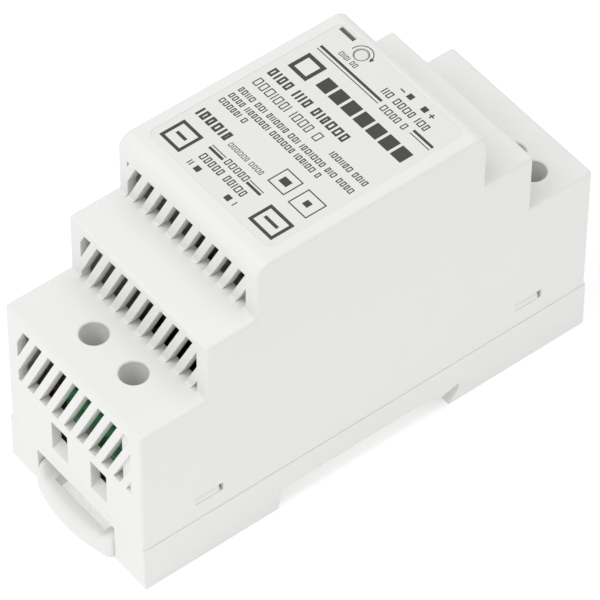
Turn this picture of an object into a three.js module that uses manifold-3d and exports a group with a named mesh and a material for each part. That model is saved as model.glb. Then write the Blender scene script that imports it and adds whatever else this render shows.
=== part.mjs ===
// A two-module DIN rail power supply: snap-together housing, spring-loaded rail clip, front label,
// and the mains-to-low-voltage converter inside it, each piece a solid of its own.
// Millimetres. X runs along the rail, Y is the mounted height, +Z points away from the rail.
// The origin is the centre of the rail's front face, where the ridges of the housing rest.

import * as THREE from 'three';
import { mergeVertices } from 'three/addons/utils/BufferGeometryUtils.js';
import Module from 'manifold-3d';

// ---- Housing ----
const WIDTH = 35;
const HEIGHT = 90;
const SHOULDER_HEIGHT = 64.4;
const WINDOW_HEIGHT = 45;
const LOW_STEP = 33.5;
const HIGH_STEP = 45.4;
const FRONT = 56.8;
const PARTING = 6.45;
const FOOT = 3.05;
const WALL = 1.8;
const FRONT_EDGE_ROUND = 2.5;
const ROUND_STEPS = 6;

// ---- Rail seat, for a 35 mm top-hat rail ----
const RAIL_WIDTH = 35;
const RAIL_LIP = 1.0;
const SEAT_RISE = 1.2;
const FLOOR = 1.8;
const FOOT_GAP = 0.5;
const FOOT_LEAN = 0.5;
const HOOK_DEPTH = 1.04;
const HOOK_GAP = 0.25;
const HOOK_REACH = 2.15;
const RIDGE_CENTRE = 14.7;
const RIDGE_FLAT = 1.0;
const RIDGE_RAMP = 2.0;
const PAD_LENGTH = 3.6;
const PAD_INSET = 2.0;

// ---- Vent slots ----
const SLOT_PITCH = 3.22;
const SLOT_WIDTH = 1.65;
const SLOT_LEAN = THREE.MathUtils.degToRad(25.5);
const SLOT_FIELD_INSET = 2.9;
const END_SLOT_FIRST = 6.4;
const END_SLOT_TOP = 2.5;
const END_SLOT_HEIGHT = 12.9;
const SHOULDER_SLOT_FIRST = 5.7;
const SHOULDER_SLOT_TOP = 1.5;
const WINDOW_SLOT_FIRST = 3.3;
const WINDOW_SLOT_TOP = 3.7;
const GROOVE_DEPTH = 0.5;
const GROOVE_FIELD = 2.7;

// ---- Terminals ----
const POLE_PITCH = 5.08;
const AC_CENTRE = 0.93;
const DC_CENTRE = 9.0;
const TERMINAL_INSET = 7.4;
const SCREW_ACCESS = 4.8;
const DC_SCREW_ACCESS = 4.6;
const ENTRY_WIDTH = 4.1;
const ENTRY_HEIGHT = 6.4;
const ENTRY_RISE = 2.85;
const TERMINAL_DEPTH = 8.2;
const TERMINAL_HEIGHT = 11.6;
const TERMINAL_CHAMFER = 1.2;
const CAGE_WIDTH = 3.9;
const CAGE_DEPTH = 4.2;
const CAGE_WALL = 0.6;
const CAGE_FLOOR = 0.8;
const CAGE_NUT = 1.5;
const CAGE_HEIGHT = 6.2;
const CAGE_LIFT = 2.5;
const CAGE_STAND = 0.6;
const CONTACT_WIDTH = 2.4;
const CONTACT_THICK = 0.8;
const SCREW_SHANK = 2.5;
const SCREW_HEAD = 3.8;
const SCREW_HEAD_HEIGHT = 1.4;
const SCREW_SLOT = 0.7;

// ---- Rail clip ----
const CLIP_CENTRE = -0.4;
const CLIP_WIDTH = 19.8;
const CLIP_TOP = 2.0;
const CLIP_BOTTOM = 2.7;
const CLIP_TRAVEL = 3.6;
const CLIP_SIDE_GAP = 0.2;
const CHANNEL_TOP = 4.7;
const CHANNEL_WALL = 2.2;
const PULL_BAR_TOP = 0.3;
const PULL_BAR_INNER = 0.6;
const PULL_BAR_REACH = 1.3;
const PULL_BAR_BOW = 1.2;
const PULL_BAR_ROUND = 1.6;
const BOW_STEPS = 12;
const PRY_INSET = 3.2;
const PRY_LENGTH = 4.9;
const NOSE_INSET = 1.4;
const NOSE_REACH = 2.1;
const NOSE_TIP = 0.4;
const TONGUE = 0.9;
const SPRING_DIAMETER = 3.6;
const SPRING_WIRE = 0.5;
const SPRING_LENGTH = 10.4;
const SPRING_TURNS = 6;
const POST = 1.5;
const POST_INSET = 11.1;

// ---- Snap joint between cover and base ----
const SNAP_CENTRE = 32.4;
const SNAP_OFFSET = 0.35;
const SNAP_LENGTH = 5.3;
const SNAP_RISE = 3.65;
const SNAP_HEIGHT = 1.7;
const SNAP_TAB = 1.1;

// ---- Front label, indicator and trimmer ----
const LABEL_WIDTH = 30.4;
const LABEL_HEIGHT = 38.4;
const LABEL_OFFSET = 0.7;
const LABEL_ROUND = 1.5;
const LABEL_RECESS = 0.25;
const LABEL_THICK = 0.2;
const LED_X = -12.7;
const LED_Y = 19.0;
const LED_SLOT_LENGTH = 3.5;
const LED_SLOT_WIDTH = 0.85;
const LED_DIAMETER = 3.0;
const LED_HEIGHT = 4.4;
const LED_DROP = 12.5;
const LED_LEG = 0.5;
const LED_LEG_DROP = 1.2;
const TRIMMER_X = -7.84;
const TRIMMER_Y = 17.84;
const TRIMMER_HOLE = 2.4;
const TRIMMER_HUB = 2.0;
const TRIMMER_SLOT = 0.4;
const TRIMMER_SLOT_DEPTH = 0.15;
const TRIMMER_BODY_WIDTH = 5.6;
const TRIMMER_BODY_DEPTH = 4.8;
const TRIMMER_BODY_HEIGHT = 6.0;
const TRIMMER_BODY_DROP = 4.6;

// ---- Circuit boards ----
const SHEET_THICK = 0.3;
const BOARD_THICK = 1.6;
const BOARD_GAP = 0.6;
const BOARD_LIFT = 0.85;
const CONTROL_BOARD_THICK = 1.0;
const CONTROL_BOARD_Y = 14.4;
const CONTROL_BOARD_WIDTH = 16.0;
const CONTROL_BOARD_DROP = 2.0;
const BOARD_CORNER = 1.0;
const CHIP = { width: 6.2, thick: 1.5, height: 5.0, left: 4.0, lift: 20.0 };
const BOSS_DIAMETER = 4.0;
const SEAT_BOSS_Y = 0;
const END_BOSS_INSET = 4.0;
const BOSS_ROOT = 0.5;

// ---- Parts on the main board: distances from its edges and ends, and their own sizes ----
const EDGE_GAP = 0.3;
const TAB_GAP = 0.9;
const LEAD = 0.8;
const LEAD_LENGTH = 1.0;
const LEGS_LENGTH = 2.2;
const FILTER_ROW = 9.0;
const RESERVOIR_ROW = 14.8;
const OUTPUT_ROW = 4.8;
const TRANSFORMER_Y = 2.2;
const FUSE = { diameter: 7.2, height: 7.6 };
const VARISTOR = { diameter: 9.0, thick: 3.6 };
const THERMISTOR = { diameter: 8.4, thick: 3.4 };
const FILTER_CAPACITOR = { width: 15.0, depth: 6.0, height: 12.0, right: 4.0 };
const CHOKE = { width: 12.4, height: 15.0, depth: 4.6, leg: 4.0, wound: 1.7, flange: 1.9 };
const BRIDGE = { width: 8.4, depth: 2.8, height: 6.6, behindChoke: 8.6 };
const BULK_CAPACITOR = { diameter: 15.6, height: 31.0 };
const TRANSFORMER = { width: 22.4, height: 20.0, depth: 6.8, leg: 6.4, wound: 4.2, flange: 4.6 };
const OUTPUT_CAPACITOR = { diameter: 10.0, height: 20.0, pitch: 10.4 };
const SAFETY_CAPACITOR = { diameter: 8.0, thick: 3.2 };
const OPTOCOUPLER = { width: 4.6, depth: 6.4, height: 3.4, left: 7.3 };
const INDUCTOR = { diameter: 8.0, core: 4.4, height: 11.0, cheek: 1.4 };
const HEATSINK_THICK = 1.2;
const HEATSINK_HEIGHT = 30.0;
const PRIMARY_HEATSINK_LENGTH = 11.6;
const SECONDARY_HEATSINK_Y = 11.2;
const SECONDARY_HEATSINK_LENGTH = 11.7;
const PACKAGE = { width: 10.0, thick: 4.2, height: 9.0, tabHeight: 15.5, tabThick: 1.2, stand: 8.0 };

// ---- General clearances ----
const SLACK = 0.1;
const GAP = 0.3;
const OVERSHOOT = 1;

// Values that follow from the ones above.
const halfWidth = WIDTH / 2;
const halfHeight = HEIGHT / 2;
const halfShoulder = SHOULDER_HEIGHT / 2;
const halfWindow = WINDOW_HEIGHT / 2;
const halfRail = RAIL_WIDTH / 2;
const innerX = halfWidth - WALL;
const terminalY = halfHeight - TERMINAL_INSET;
const sheetBottom = PARTING + GAP;
const boardBottom = PARTING + BOARD_LIFT;
const boardTop = boardBottom + BOARD_THICK;
const entryBottom = PARTING + ENTRY_RISE;
const slotRun = Math.tan(SLOT_LEAN);

const wasm = await Module();
wasm.setup();

const powerSupply = new THREE.Group();

// ---- Solids from three.js geometry, and the booleans between them ----

function solid(geometry) {
  const bare = geometry.clone();
  bare.deleteAttribute('normal');
  bare.deleteAttribute('uv');
  const merged = mergeVertices(bare, 1e-4);
  return new wasm.Manifold(new wasm.Mesh({
    numProp: 3,
    vertProperties: merged.attributes.position.array,
    triVerts: new Uint32Array(merged.index.array),
  }));
}

function geometryOf(body) {
  const mesh = body.getMesh();
  const geometry = new THREE.BufferGeometry();
  geometry.setAttribute('position', new THREE.BufferAttribute(mesh.vertProperties, 3));
  geometry.setIndex(new THREE.BufferAttribute(mesh.triVerts, 1));
  geometry.computeVertexNormals();
  return geometry;
}

function add(name, body, color, roughness, metalness = 0) {
  const material = new THREE.MeshStandardMaterial({ color, roughness, metalness });
  const mesh = new THREE.Mesh(geometryOf(body), material);
  mesh.name = name;
  powerSupply.add(mesh);
}

function join(bodies) {
  return bodies.reduce((sum, body) => sum.add(body));
}

function cut(body, tools) {
  return tools.reduce((rest, tool) => rest.subtract(tool), body);
}

// A box between two corners, each given as [x, y, z].
function box([x0, y0, z0], [x1, y1, z1]) {
  const geometry = new THREE.BoxGeometry(x1 - x0, y1 - y0, z1 - z0);
  geometry.translate((x0 + x1) / 2, (y0 + y1) / 2, (z0 + z1) / 2);
  return solid(geometry);
}

// A box centred on x and y, standing on z = bottom.
function block(x, y, bottom, width, depth, height) {
  return box([x - width / 2, y - depth / 2, bottom], [x + width / 2, y + depth / 2, bottom + height]);
}

// A vertical round bar or hole, standing on z = bottom.
function rod(x, y, bottom, diameter, height, sides = 24) {
  const geometry = new THREE.CylinderGeometry(diameter / 2, diameter / 2, height, sides);
  geometry.rotateX(Math.PI / 2);
  geometry.translate(x, y, bottom + height / 2);
  return solid(geometry);
}

function extruded(points, depth, basis) {
  const outline = new THREE.Shape(points.map(([a, b]) => new THREE.Vector2(a, b)));
  const geometry = new THREE.ExtrudeGeometry(outline, { depth, bevelEnabled: false });
  geometry.applyMatrix4(new THREE.Matrix4().makeBasis(...basis));
  return geometry;
}

const axisX = new THREE.Vector3(1, 0, 0);
const axisY = new THREE.Vector3(0, 1, 0);
const axisZ = new THREE.Vector3(0, 0, 1);

// An outline of [y, z] points, extruded along X between two planes.
function alongX(points, from, to) {
  return solid(extruded(points, to - from, [axisY, axisZ, axisX]).translate(from, 0, 0));
}

// An outline of [x, z] points, extruded along Y between two planes.
function alongY(points, from, to) {
  const turned = points.map(([x, z]) => [z, x]);
  return solid(extruded(turned, to - from, [axisZ, axisX, axisY]).translate(0, from, 0));
}

// An outline of [x, y] points, extruded along Z between two planes.
function alongZ(points, from, to) {
  return solid(extruded(points, to - from, [axisX, axisY, axisZ]).translate(0, 0, from));
}

// Points on an arc, both ends included, with angles in quarter turns.
function arc(centreA, centreB, radius, fromQuarter, toQuarter, steps = ROUND_STEPS) {
  const points = [];
  for (let i = 0; i <= steps; i += 1) {
    const angle = (fromQuarter + (toQuarter - fromQuarter) * i / steps) * Math.PI / 2;
    points.push([centreA + radius * Math.cos(angle), centreB + radius * Math.sin(angle)]);
  }
  return points;
}

function roundedRectangle(x, y, width, depth, radius, steps = ROUND_STEPS) {
  const a = width / 2 - radius;
  const b = depth / 2 - radius;
  return [
    ...arc(x + a, y + b, radius, 0, 1, steps),
    ...arc(x - a, y + b, radius, 1, 2, steps),
    ...arc(x - a, y - b, radius, 2, 3, steps),
    ...arc(x + a, y - b, radius, 3, 4, steps),
  ];
}

// A solid of revolution about a vertical axis through x, y; the profile is [radius, z] points.
function turned(profile, x, y, sides = 24) {
  const points = profile.map(([radius, z]) => new THREE.Vector2(radius, z));
  const geometry = new THREE.LatheGeometry(points, sides);
  geometry.rotateX(Math.PI / 2);
  geometry.translate(x, y, 0);
  return solid(geometry);
}

// ---- Front cover: one moulded shell with a stepped profile, open towards the base ----

// The stepped [y, z] outline, drawn in by an inset, with its bottom edge at a given height.
function steppedOutline(inset, bottom, round) {
  const window = halfWindow - inset;
  const front = FRONT - inset;
  const half = [
    [halfHeight - inset, bottom],
    [halfHeight - inset, LOW_STEP - inset],
    [halfShoulder - inset, LOW_STEP - inset],
    [halfShoulder - inset, HIGH_STEP - inset],
    [window, HIGH_STEP - inset],
    ...arc(window - round, front - round, round, 0, 1),
  ];
  const mirrored = half.map(([y, z]) => [-y, z]).reverse();
  return [...half, ...mirrored];
}

// Slanted slots through the wall at one end, clipped to a rectangular field.
// topRight is the upper corner of the first slot; the row repeats towards +X.
function ventRow({ topRight, left, right, bottom, top, from, to }) {
  const run = (top - bottom) * slotRun;
  const slots = [];
  for (let x = topRight; x - SLOT_WIDTH - run < right; x += SLOT_PITCH) {
    const outline = [
      [x, top],
      [x - SLOT_WIDTH, top],
      [x - SLOT_WIDTH - run, bottom],
      [x - run, bottom],
    ];
    slots.push(alongY(outline, from, to));
  }
  return join(slots).intersect(box([left, from, bottom], [right, to, top]));
}

// Every vent of the end at -Y; the opposite end takes the same set turned half round.
function endVents() {
  const left = -halfWidth + SLOT_FIELD_INSET;
  const right = halfWidth - SLOT_FIELD_INSET;
  const endTop = LOW_STEP - END_SLOT_TOP;
  const endRow = {
    topRight: -halfWidth + END_SLOT_FIRST,
    bottom: endTop - END_SLOT_HEIGHT,
    top: endTop,
    from: -halfHeight - OVERSHOOT,
  };
  return [
    ventRow({ ...endRow, left, right: right - GROOVE_FIELD, to: -halfHeight + WALL + OVERSHOOT }),
    ventRow({ ...endRow, left: right - GROOVE_FIELD, right, to: -halfHeight + GROOVE_DEPTH }),
    ventRow({
      topRight: -halfWidth + SHOULDER_SLOT_FIRST,
      left,
      right,
      bottom: LOW_STEP,
      top: HIGH_STEP - SHOULDER_SLOT_TOP,
      from: -halfShoulder - OVERSHOOT,
      to: -halfShoulder + WALL + OVERSHOOT,
    }),
    ventRow({
      topRight: -halfWidth + WINDOW_SLOT_FIRST,
      left,
      right,
      bottom: HIGH_STEP,
      top: FRONT - WINDOW_SLOT_TOP,
      from: -halfWindow - OVERSHOOT,
      to: -halfWindow + WALL + OVERSHOOT,
    }),
  ];
}

// A wire entry through the end wall; side is -1 at the mains end and 1 at the output end.
function wireEntry(x, side) {
  const wallMiddle = side * (halfHeight - WALL / 2);
  return block(x, wallMiddle, entryBottom, ENTRY_WIDTH, WALL + 2 * OVERSHOOT, ENTRY_HEIGHT);
}

// Centres of the two snap windows along Y.
const snapCentres = [SNAP_OFFSET - SNAP_CENTRE, SNAP_OFFSET + SNAP_CENTRE];

function snapWindow(y, side) {
  const inner = side * (innerX - OVERSHOOT);
  const outer = side * (halfWidth + OVERSHOOT);
  const bottom = PARTING + SNAP_RISE;
  return box(
    [Math.min(inner, outer), y - SNAP_LENGTH / 2, bottom],
    [Math.max(inner, outer), y + SNAP_LENGTH / 2, bottom + SNAP_HEIGHT],
  );
}

// The places of the terminal poles along the rail.
const acPoles = { line: AC_CENTRE + POLE_PITCH, neutral: AC_CENTRE - POLE_PITCH };
const dcPoles = { plus: DC_CENTRE + POLE_PITCH / 2, minus: DC_CENTRE - POLE_PITCH / 2 };

function labelOutline(gap) {
  return roundedRectangle(
    0, LABEL_OFFSET, LABEL_WIDTH - 2 * gap, LABEL_HEIGHT - 2 * gap, LABEL_ROUND - gap,
  );
}

function makeFrontCover() {
  const shell = cut(
    alongX(steppedOutline(0, PARTING, FRONT_EDGE_ROUND), -halfWidth, halfWidth),
    [alongX(steppedOutline(WALL, PARTING - OVERSHOOT, FRONT_EDGE_ROUND - WALL), -innerX, innerX)],
  );
  const vents = join(endVents());
  const openings = [vents, vents.rotate([0, 0, 180])];
  for (const x of Object.values(acPoles)) {
    openings.push(rod(x, -terminalY, LOW_STEP - WALL - OVERSHOOT, SCREW_ACCESS, WALL + 2 * OVERSHOOT));
    openings.push(wireEntry(x, -1));
  }
  for (const x of Object.values(dcPoles)) {
    openings.push(rod(x, terminalY, LOW_STEP - WALL - OVERSHOOT, DC_SCREW_ACCESS, WALL + 2 * OVERSHOOT));
    openings.push(wireEntry(x, 1));
  }
  for (const y of snapCentres) {
    openings.push(snapWindow(y, -1), snapWindow(y, 1));
  }
  openings.push(alongZ(labelOutline(0), FRONT - LABEL_RECESS, FRONT + OVERSHOOT));
  openings.push(block(
    LED_X, LED_Y, FRONT - WALL - OVERSHOOT, LED_SLOT_LENGTH, LED_SLOT_WIDTH, WALL + OVERSHOOT,
  ));
  openings.push(rod(TRIMMER_X, TRIMMER_Y, FRONT - WALL - OVERSHOOT, TRIMMER_HOLE, WALL + OVERSHOOT));
  add('front_cover', cut(shell, openings), 0xf2f2f0, 0.45);
}

// ---- Rear base: tray with two feet, the rail slot, the fixed hook and the clip channel ----

const channelLeft = CLIP_CENTRE - CLIP_WIDTH / 2 - CLIP_SIDE_GAP;
const channelRight = CLIP_CENTRE + CLIP_WIDTH / 2 + CLIP_SIDE_GAP;
const footInner = -(halfRail + FOOT_GAP);
const noseBottom = -(RAIL_LIP + SLACK);
const postNear = -(halfHeight - POST_INSET);
const tongueTop = PULL_BAR_TOP + SEAT_RISE / 2;
const tongueBottom = tongueTop - TONGUE;

// The [y, z] outline of the base seen along the rail.
function baseOutline() {
  const ridgeStart = RIDGE_CENTRE - RIDGE_FLAT / 2;
  const ridgeEnd = RIDGE_CENTRE + RIDGE_FLAT / 2;
  const hookEnd = halfRail + HOOK_DEPTH;
  return [
    [-halfHeight, PARTING],
    [-halfHeight, -FOOT],
    [footInner - FOOT_LEAN, -FOOT],
    [footInner, SEAT_RISE],
    [ridgeStart - RIDGE_RAMP, SEAT_RISE],
    [ridgeStart, 0],
    [ridgeEnd, 0],
    [hookEnd, SEAT_RISE - GAP],
    [hookEnd, -HOOK_GAP],
    [hookEnd - HOOK_REACH, -FOOT + SLACK],
    [hookEnd - HOOK_REACH + SLACK, -FOOT],
    [halfHeight, -FOOT],
    [halfHeight, PARTING],
  ];
}

// A snap tab on one long side: an upright tongue whose wedge fills the cover's window.
function snapTab(y, side) {
  const root = innerX - SLACK;
  const bottom = PARTING + SNAP_RISE + SLACK;
  const top = PARTING + SNAP_RISE + SNAP_HEIGHT - SLACK;
  const outline = [
    [root - SNAP_TAB, PARTING - OVERSHOOT],
    [root, PARTING - OVERSHOOT],
    [root, bottom],
    [halfWidth - 2 * SLACK, bottom],
    [root + WALL / 4, top],
    [root - SNAP_TAB, top],
  ];
  const half = SNAP_LENGTH / 2 - SLACK;
  const tab = alongY(outline, y - half, y + half);
  return side > 0 ? tab : tab.mirror([1, 0, 0]);
}

function makeRearBase() {
  const footFloor = -FOOT + FLOOR;
  const seatFloor = SEAT_RISE + FLOOR;
  const innerY = halfHeight - WALL;
  const channelEnd = footInner;
  const bulkhead = channelEnd + FLOOR;
  const top = PARTING + OVERSHOOT;
  const hookPocket = halfRail + HOOK_DEPTH + FLOOR;

  const hollows = [
    box([-innerX, bulkhead, seatFloor], [innerX, hookPocket + OVERSHOOT, top]),
    box([-innerX, hookPocket, footFloor], [innerX, innerY, top]),
    box([-innerX, -innerY, footFloor], [channelLeft - CHANNEL_WALL, channelEnd - FLOOR, top]),
    box([channelRight + CHANNEL_WALL, -innerY, footFloor], [innerX, channelEnd - FLOOR, top]),
  ];
  const channel = box(
    [channelLeft, -halfHeight - OVERSHOOT, -FOOT - OVERSHOOT],
    [channelRight, channelEnd, CHANNEL_TOP],
  );
  const tongueSlots = box(
    [channelLeft - TONGUE - SLACK, -innerY, tongueBottom - SLACK],
    [channelRight + TONGUE + SLACK, channelEnd + OVERSHOOT, tongueTop + SLACK],
  );
  const slotLimit = box(
    [-halfWidth, -halfHeight, -FOOT], [halfWidth, channelEnd - FOOT_LEAN - FLOOR, PARTING],
  );

  const post = block(CLIP_CENTRE, postNear + POST / 2, -CLIP_BOTTOM / 2, SPRING_DIAMETER, POST,
    CHANNEL_TOP + CLIP_BOTTOM / 2);
  const padCentre = halfWidth - PAD_INSET - PAD_LENGTH / 2;
  const padY = -RIDGE_CENTRE;
  const pads = [-padCentre, padCentre].map(
    (x) => block(x, padY, 0, PAD_LENGTH, PAD_LENGTH, SEAT_RISE),
  );
  const bossRows = [
    [SEAT_BOSS_Y, seatFloor - BOSS_ROOT],
    [halfHeight - END_BOSS_INSET, footFloor - BOSS_ROOT],
  ];
  const bosses = bossRows.flatMap(([y, bottom]) => [-1, 1].map((side) => rod(
    side * (innerX - BOSS_DIAMETER / 2 - GAP), y, bottom, BOSS_DIAMETER, PARTING - bottom, 16,
  )));
  const tabs = snapCentres.flatMap((y) => [snapTab(y, -1), snapTab(y, 1)]);
  const supports = tabs.map((tab) => {
    const bounds = tab.boundingBox();
    const inner = Math.min(Math.abs(bounds.min[0]), Math.abs(bounds.max[0]));
    const side = Math.sign(bounds.min[0]);
    return box(
      [Math.min(side * inner, side * halfWidth), bounds.min[1], -FOOT + FLOOR - SLACK],
      [Math.max(side * inner, side * halfWidth), bounds.max[1], PARTING],
    );
  });

  const tray = cut(
    alongX(baseOutline(), -halfWidth, halfWidth),
    [...hollows, channel, tongueSlots.intersect(slotLimit)],
  );
  add('rear_base', join([tray, post, ...pads, ...bosses, ...supports, ...tabs]), 0xf0f0ee, 0.45);
}

// ---- Rail clip: a sprung slider with a bowed pull bar, a pry slot and a wedge nose ----

function makeRailClip() {
  const left = CLIP_CENTRE - CLIP_WIDTH / 2;
  const right = CLIP_CENTRE + CLIP_WIDTH / 2;
  const barInner = -halfHeight + PULL_BAR_INNER;
  const barOuter = -halfHeight - PULL_BAR_REACH;
  const pryEnd = barInner + PRY_LENGTH;
  const springSlotStart = postNear - SLACK;
  const noseStart = postNear + POST + SPRING_LENGTH + SLACK;
  const shoulderEnd = footInner - FOOT_LEAN - SLACK;
  const noseTip = -halfRail + NOSE_REACH;

  // The bow of the pull bar is one arc between its rounded corners.
  const chord = CLIP_WIDTH / 2 - PULL_BAR_ROUND;
  const radius = (chord * chord + PULL_BAR_BOW * PULL_BAR_BOW) / (2 * PULL_BAR_BOW);
  const bow = [];
  for (let i = 0; i <= BOW_STEPS; i += 1) {
    const x = -chord + 2 * chord * i / BOW_STEPS;
    const y = barOuter + radius - PULL_BAR_BOW - Math.sqrt(radius * radius - x * x);
    bow.push([CLIP_CENTRE + x, y]);
  }
  const outline = [
    ...arc(left + PULL_BAR_ROUND, barOuter + PULL_BAR_ROUND, PULL_BAR_ROUND, 2, 2.8, 4),
    ...bow.slice(1, -1),
    ...arc(right - PULL_BAR_ROUND, barOuter + PULL_BAR_ROUND, PULL_BAR_ROUND, 3.2, 4, 4),
    [right, shoulderEnd],
    [left, shoulderEnd],
  ];
  const plate = alongZ(outline, -CLIP_BOTTOM, CLIP_TOP);

  const barRelief = box(
    [left + PRY_INSET, barOuter - PULL_BAR_BOW - OVERSHOOT, PULL_BAR_TOP],
    [right - PRY_INSET, barInner + OVERSHOOT, CLIP_TOP + OVERSHOOT],
  );
  const plateRelief = box(
    [left - OVERSHOOT, pryEnd + OVERSHOOT, SEAT_RISE],
    [right + OVERSHOOT, shoulderEnd + OVERSHOOT, CLIP_TOP + OVERSHOOT],
  );
  const prySlot = box(
    [left + PRY_INSET, barInner, -CLIP_BOTTOM - OVERSHOOT],
    [right - PRY_INSET, pryEnd, CLIP_TOP + OVERSHOOT],
  );
  const springSlot = box(
    [CLIP_CENTRE - SPRING_DIAMETER / 2 - GAP, springSlotStart, -CLIP_BOTTOM - OVERSHOOT],
    [CLIP_CENTRE + SPRING_DIAMETER / 2 + GAP, noseStart, CLIP_TOP + OVERSHOOT],
  );

  const nose = alongX([
    [shoulderEnd - OVERSHOOT, noseBottom],
    [shoulderEnd - OVERSHOOT, -CLIP_BOTTOM],
    [shoulderEnd, -CLIP_BOTTOM],
    [noseTip, noseBottom - NOSE_TIP],
    [noseTip, noseBottom],
  ], left + NOSE_INSET, right - NOSE_INSET);
  const tongues = [[left - TONGUE + SLACK, left + OVERSHOOT], [right - OVERSHOOT, right + TONGUE - SLACK]];
  const tongueBars = tongues.map(([from, to]) => box(
    [from, -halfHeight + WALL + CLIP_TRAVEL + GAP, tongueBottom],
    [to, shoulderEnd - FLOOR - GAP, tongueTop],
  ));

  const clip = cut(plate, [barRelief, plateRelief, prySlot, springSlot]);
  add('rail_clip', join([clip, nose, ...tongueBars]), 0xf1f1ef, 0.4);
}

// The clip's compression spring: a helix along Y with closed section, between post and nose block.
function makeClipSpring() {
  const radius = (SPRING_DIAMETER - SPRING_WIRE) / 2;
  const start = postNear + POST + SPRING_WIRE / 2 + SLACK;
  const length = SPRING_LENGTH - SPRING_WIRE - 2 * SLACK;
  class Helix extends THREE.Curve {
    getPoint(t, target = new THREE.Vector3()) {
      const angle = 2 * Math.PI * SPRING_TURNS * t;
      return target.set(
        CLIP_CENTRE + radius * Math.cos(angle), start + length * t, radius * Math.sin(angle),
      );
    }
  }
  const section = new THREE.Shape(
    arc(0, 0, SPRING_WIRE / 2, 0, 3.5, 7).map(([a, b]) => new THREE.Vector2(a, b)),
  );
  const coil = new THREE.ExtrudeGeometry(section, {
    steps: SPRING_TURNS * 12, extrudePath: new Helix(), bevelEnabled: false,
  });
  add('rail_clip_spring', solid(coil), 0xb8bcc0, 0.3, 1);
}

// ---- Front label, indicator and trimmer ----

const labelTop = FRONT - LABEL_RECESS + LABEL_THICK;
const ledBottom = FRONT - LED_DROP;
const controlFace = CONTROL_BOARD_Y + CONTROL_BOARD_THICK / 2;

function makeLabel() {
  const film = alongZ(labelOutline(SLACK), FRONT - LABEL_RECESS, labelTop);
  const openings = [
    block(LED_X, LED_Y, FRONT - OVERSHOOT, LED_SLOT_LENGTH, LED_SLOT_WIDTH, 2 * OVERSHOOT),
    rod(TRIMMER_X, TRIMMER_Y, FRONT - OVERSHOOT, TRIMMER_HOLE, 2 * OVERSHOOT),
  ];
  add('front_label', cut(film, openings), 0xececea, 0.5);
}

function makeIndicator() {
  const ledY = halfWindow - WALL - GAP - LED_DIAMETER / 2;
  const lens = rod(LED_X, ledY, ledBottom, LED_DIAMETER, LED_HEIGHT);
  const pitch = LED_DIAMETER / 2;
  const legs = [-pitch / 2, pitch / 2].map((offset) => join([
    block(LED_X + offset, ledY, ledBottom - LED_LEG_DROP, LED_LEG, LED_LEG, LED_LEG_DROP + LED_LEG),
    box(
      [LED_X + offset - LED_LEG / 2, controlFace + SLACK, ledBottom - LED_LEG_DROP],
      [LED_X + offset + LED_LEG / 2, ledY, ledBottom - LED_LEG_DROP + LED_LEG],
    ),
  ]));
  add('indicator_led', join([lens, ...legs]), 0x7fbf7f, 0.2);

  const pipeBottom = ledBottom + LED_HEIGHT + GAP;
  const pipe = block(LED_X, LED_Y, pipeBottom, LED_SLOT_LENGTH - 2 * SLACK,
    LED_SLOT_WIDTH - 2 * SLACK, labelTop - 2 * SLACK - pipeBottom);
  const flange = block(LED_X, LED_Y, pipeBottom, LED_SLOT_LENGTH, 3 * LED_SLOT_WIDTH,
    2 * LED_SLOT_WIDTH);
  add('light_pipe', join([pipe, flange]), 0x8a8682, 0.15);
}

function makeTrimmer() {
  const bodyTop = FRONT - TRIMMER_BODY_DROP;
  const bodyY = controlFace + SLACK + TRIMMER_BODY_DEPTH / 2;
  const hubLength = TRIMMER_HUB - SLACK;
  const body = cut(
    block(TRIMMER_X, bodyY, bodyTop - TRIMMER_BODY_HEIGHT, TRIMMER_BODY_WIDTH, TRIMMER_BODY_DEPTH,
      TRIMMER_BODY_HEIGHT),
    [rod(TRIMMER_X, TRIMMER_Y, bodyTop - TRIMMER_HUB, TRIMMER_HUB + 2 * SLACK, TRIMMER_HUB + OVERSHOOT)],
  );
  add('voltage_trimmer_body', body, 0x2f6fb5, 0.45);

  const stem = join([
    rod(TRIMMER_X, TRIMMER_Y, bodyTop - hubLength, TRIMMER_HUB, hubLength + OVERSHOOT),
    rod(TRIMMER_X, TRIMMER_Y, bodyTop + GAP, TRIMMER_HOLE - 2 * SLACK, labelTop - bodyTop - GAP),
  ]);
  const slot = block(TRIMMER_X, TRIMMER_Y, labelTop - TRIMMER_SLOT_DEPTH, TRIMMER_HOLE, TRIMMER_SLOT,
    OVERSHOOT);
  add('voltage_trimmer_rotor', stem.subtract(slot), 0xeeeeec, 0.45);
}

// ---- Circuit boards ----

const boardHalfX = innerX - BOARD_GAP;
const boardHalfY = halfHeight - WALL - BOARD_GAP;
const contactPinY = terminalY - TERMINAL_DEPTH / 2 + CONTACT_THICK;

// Places of the terminal contacts on the main board.
function contactPins() {
  const mains = Object.values(acPoles).map((x) => [x, -contactPinY]);
  const output = Object.values(dcPoles).map((x) => [x, contactPinY]);
  return [...mains, ...output];
}

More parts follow.
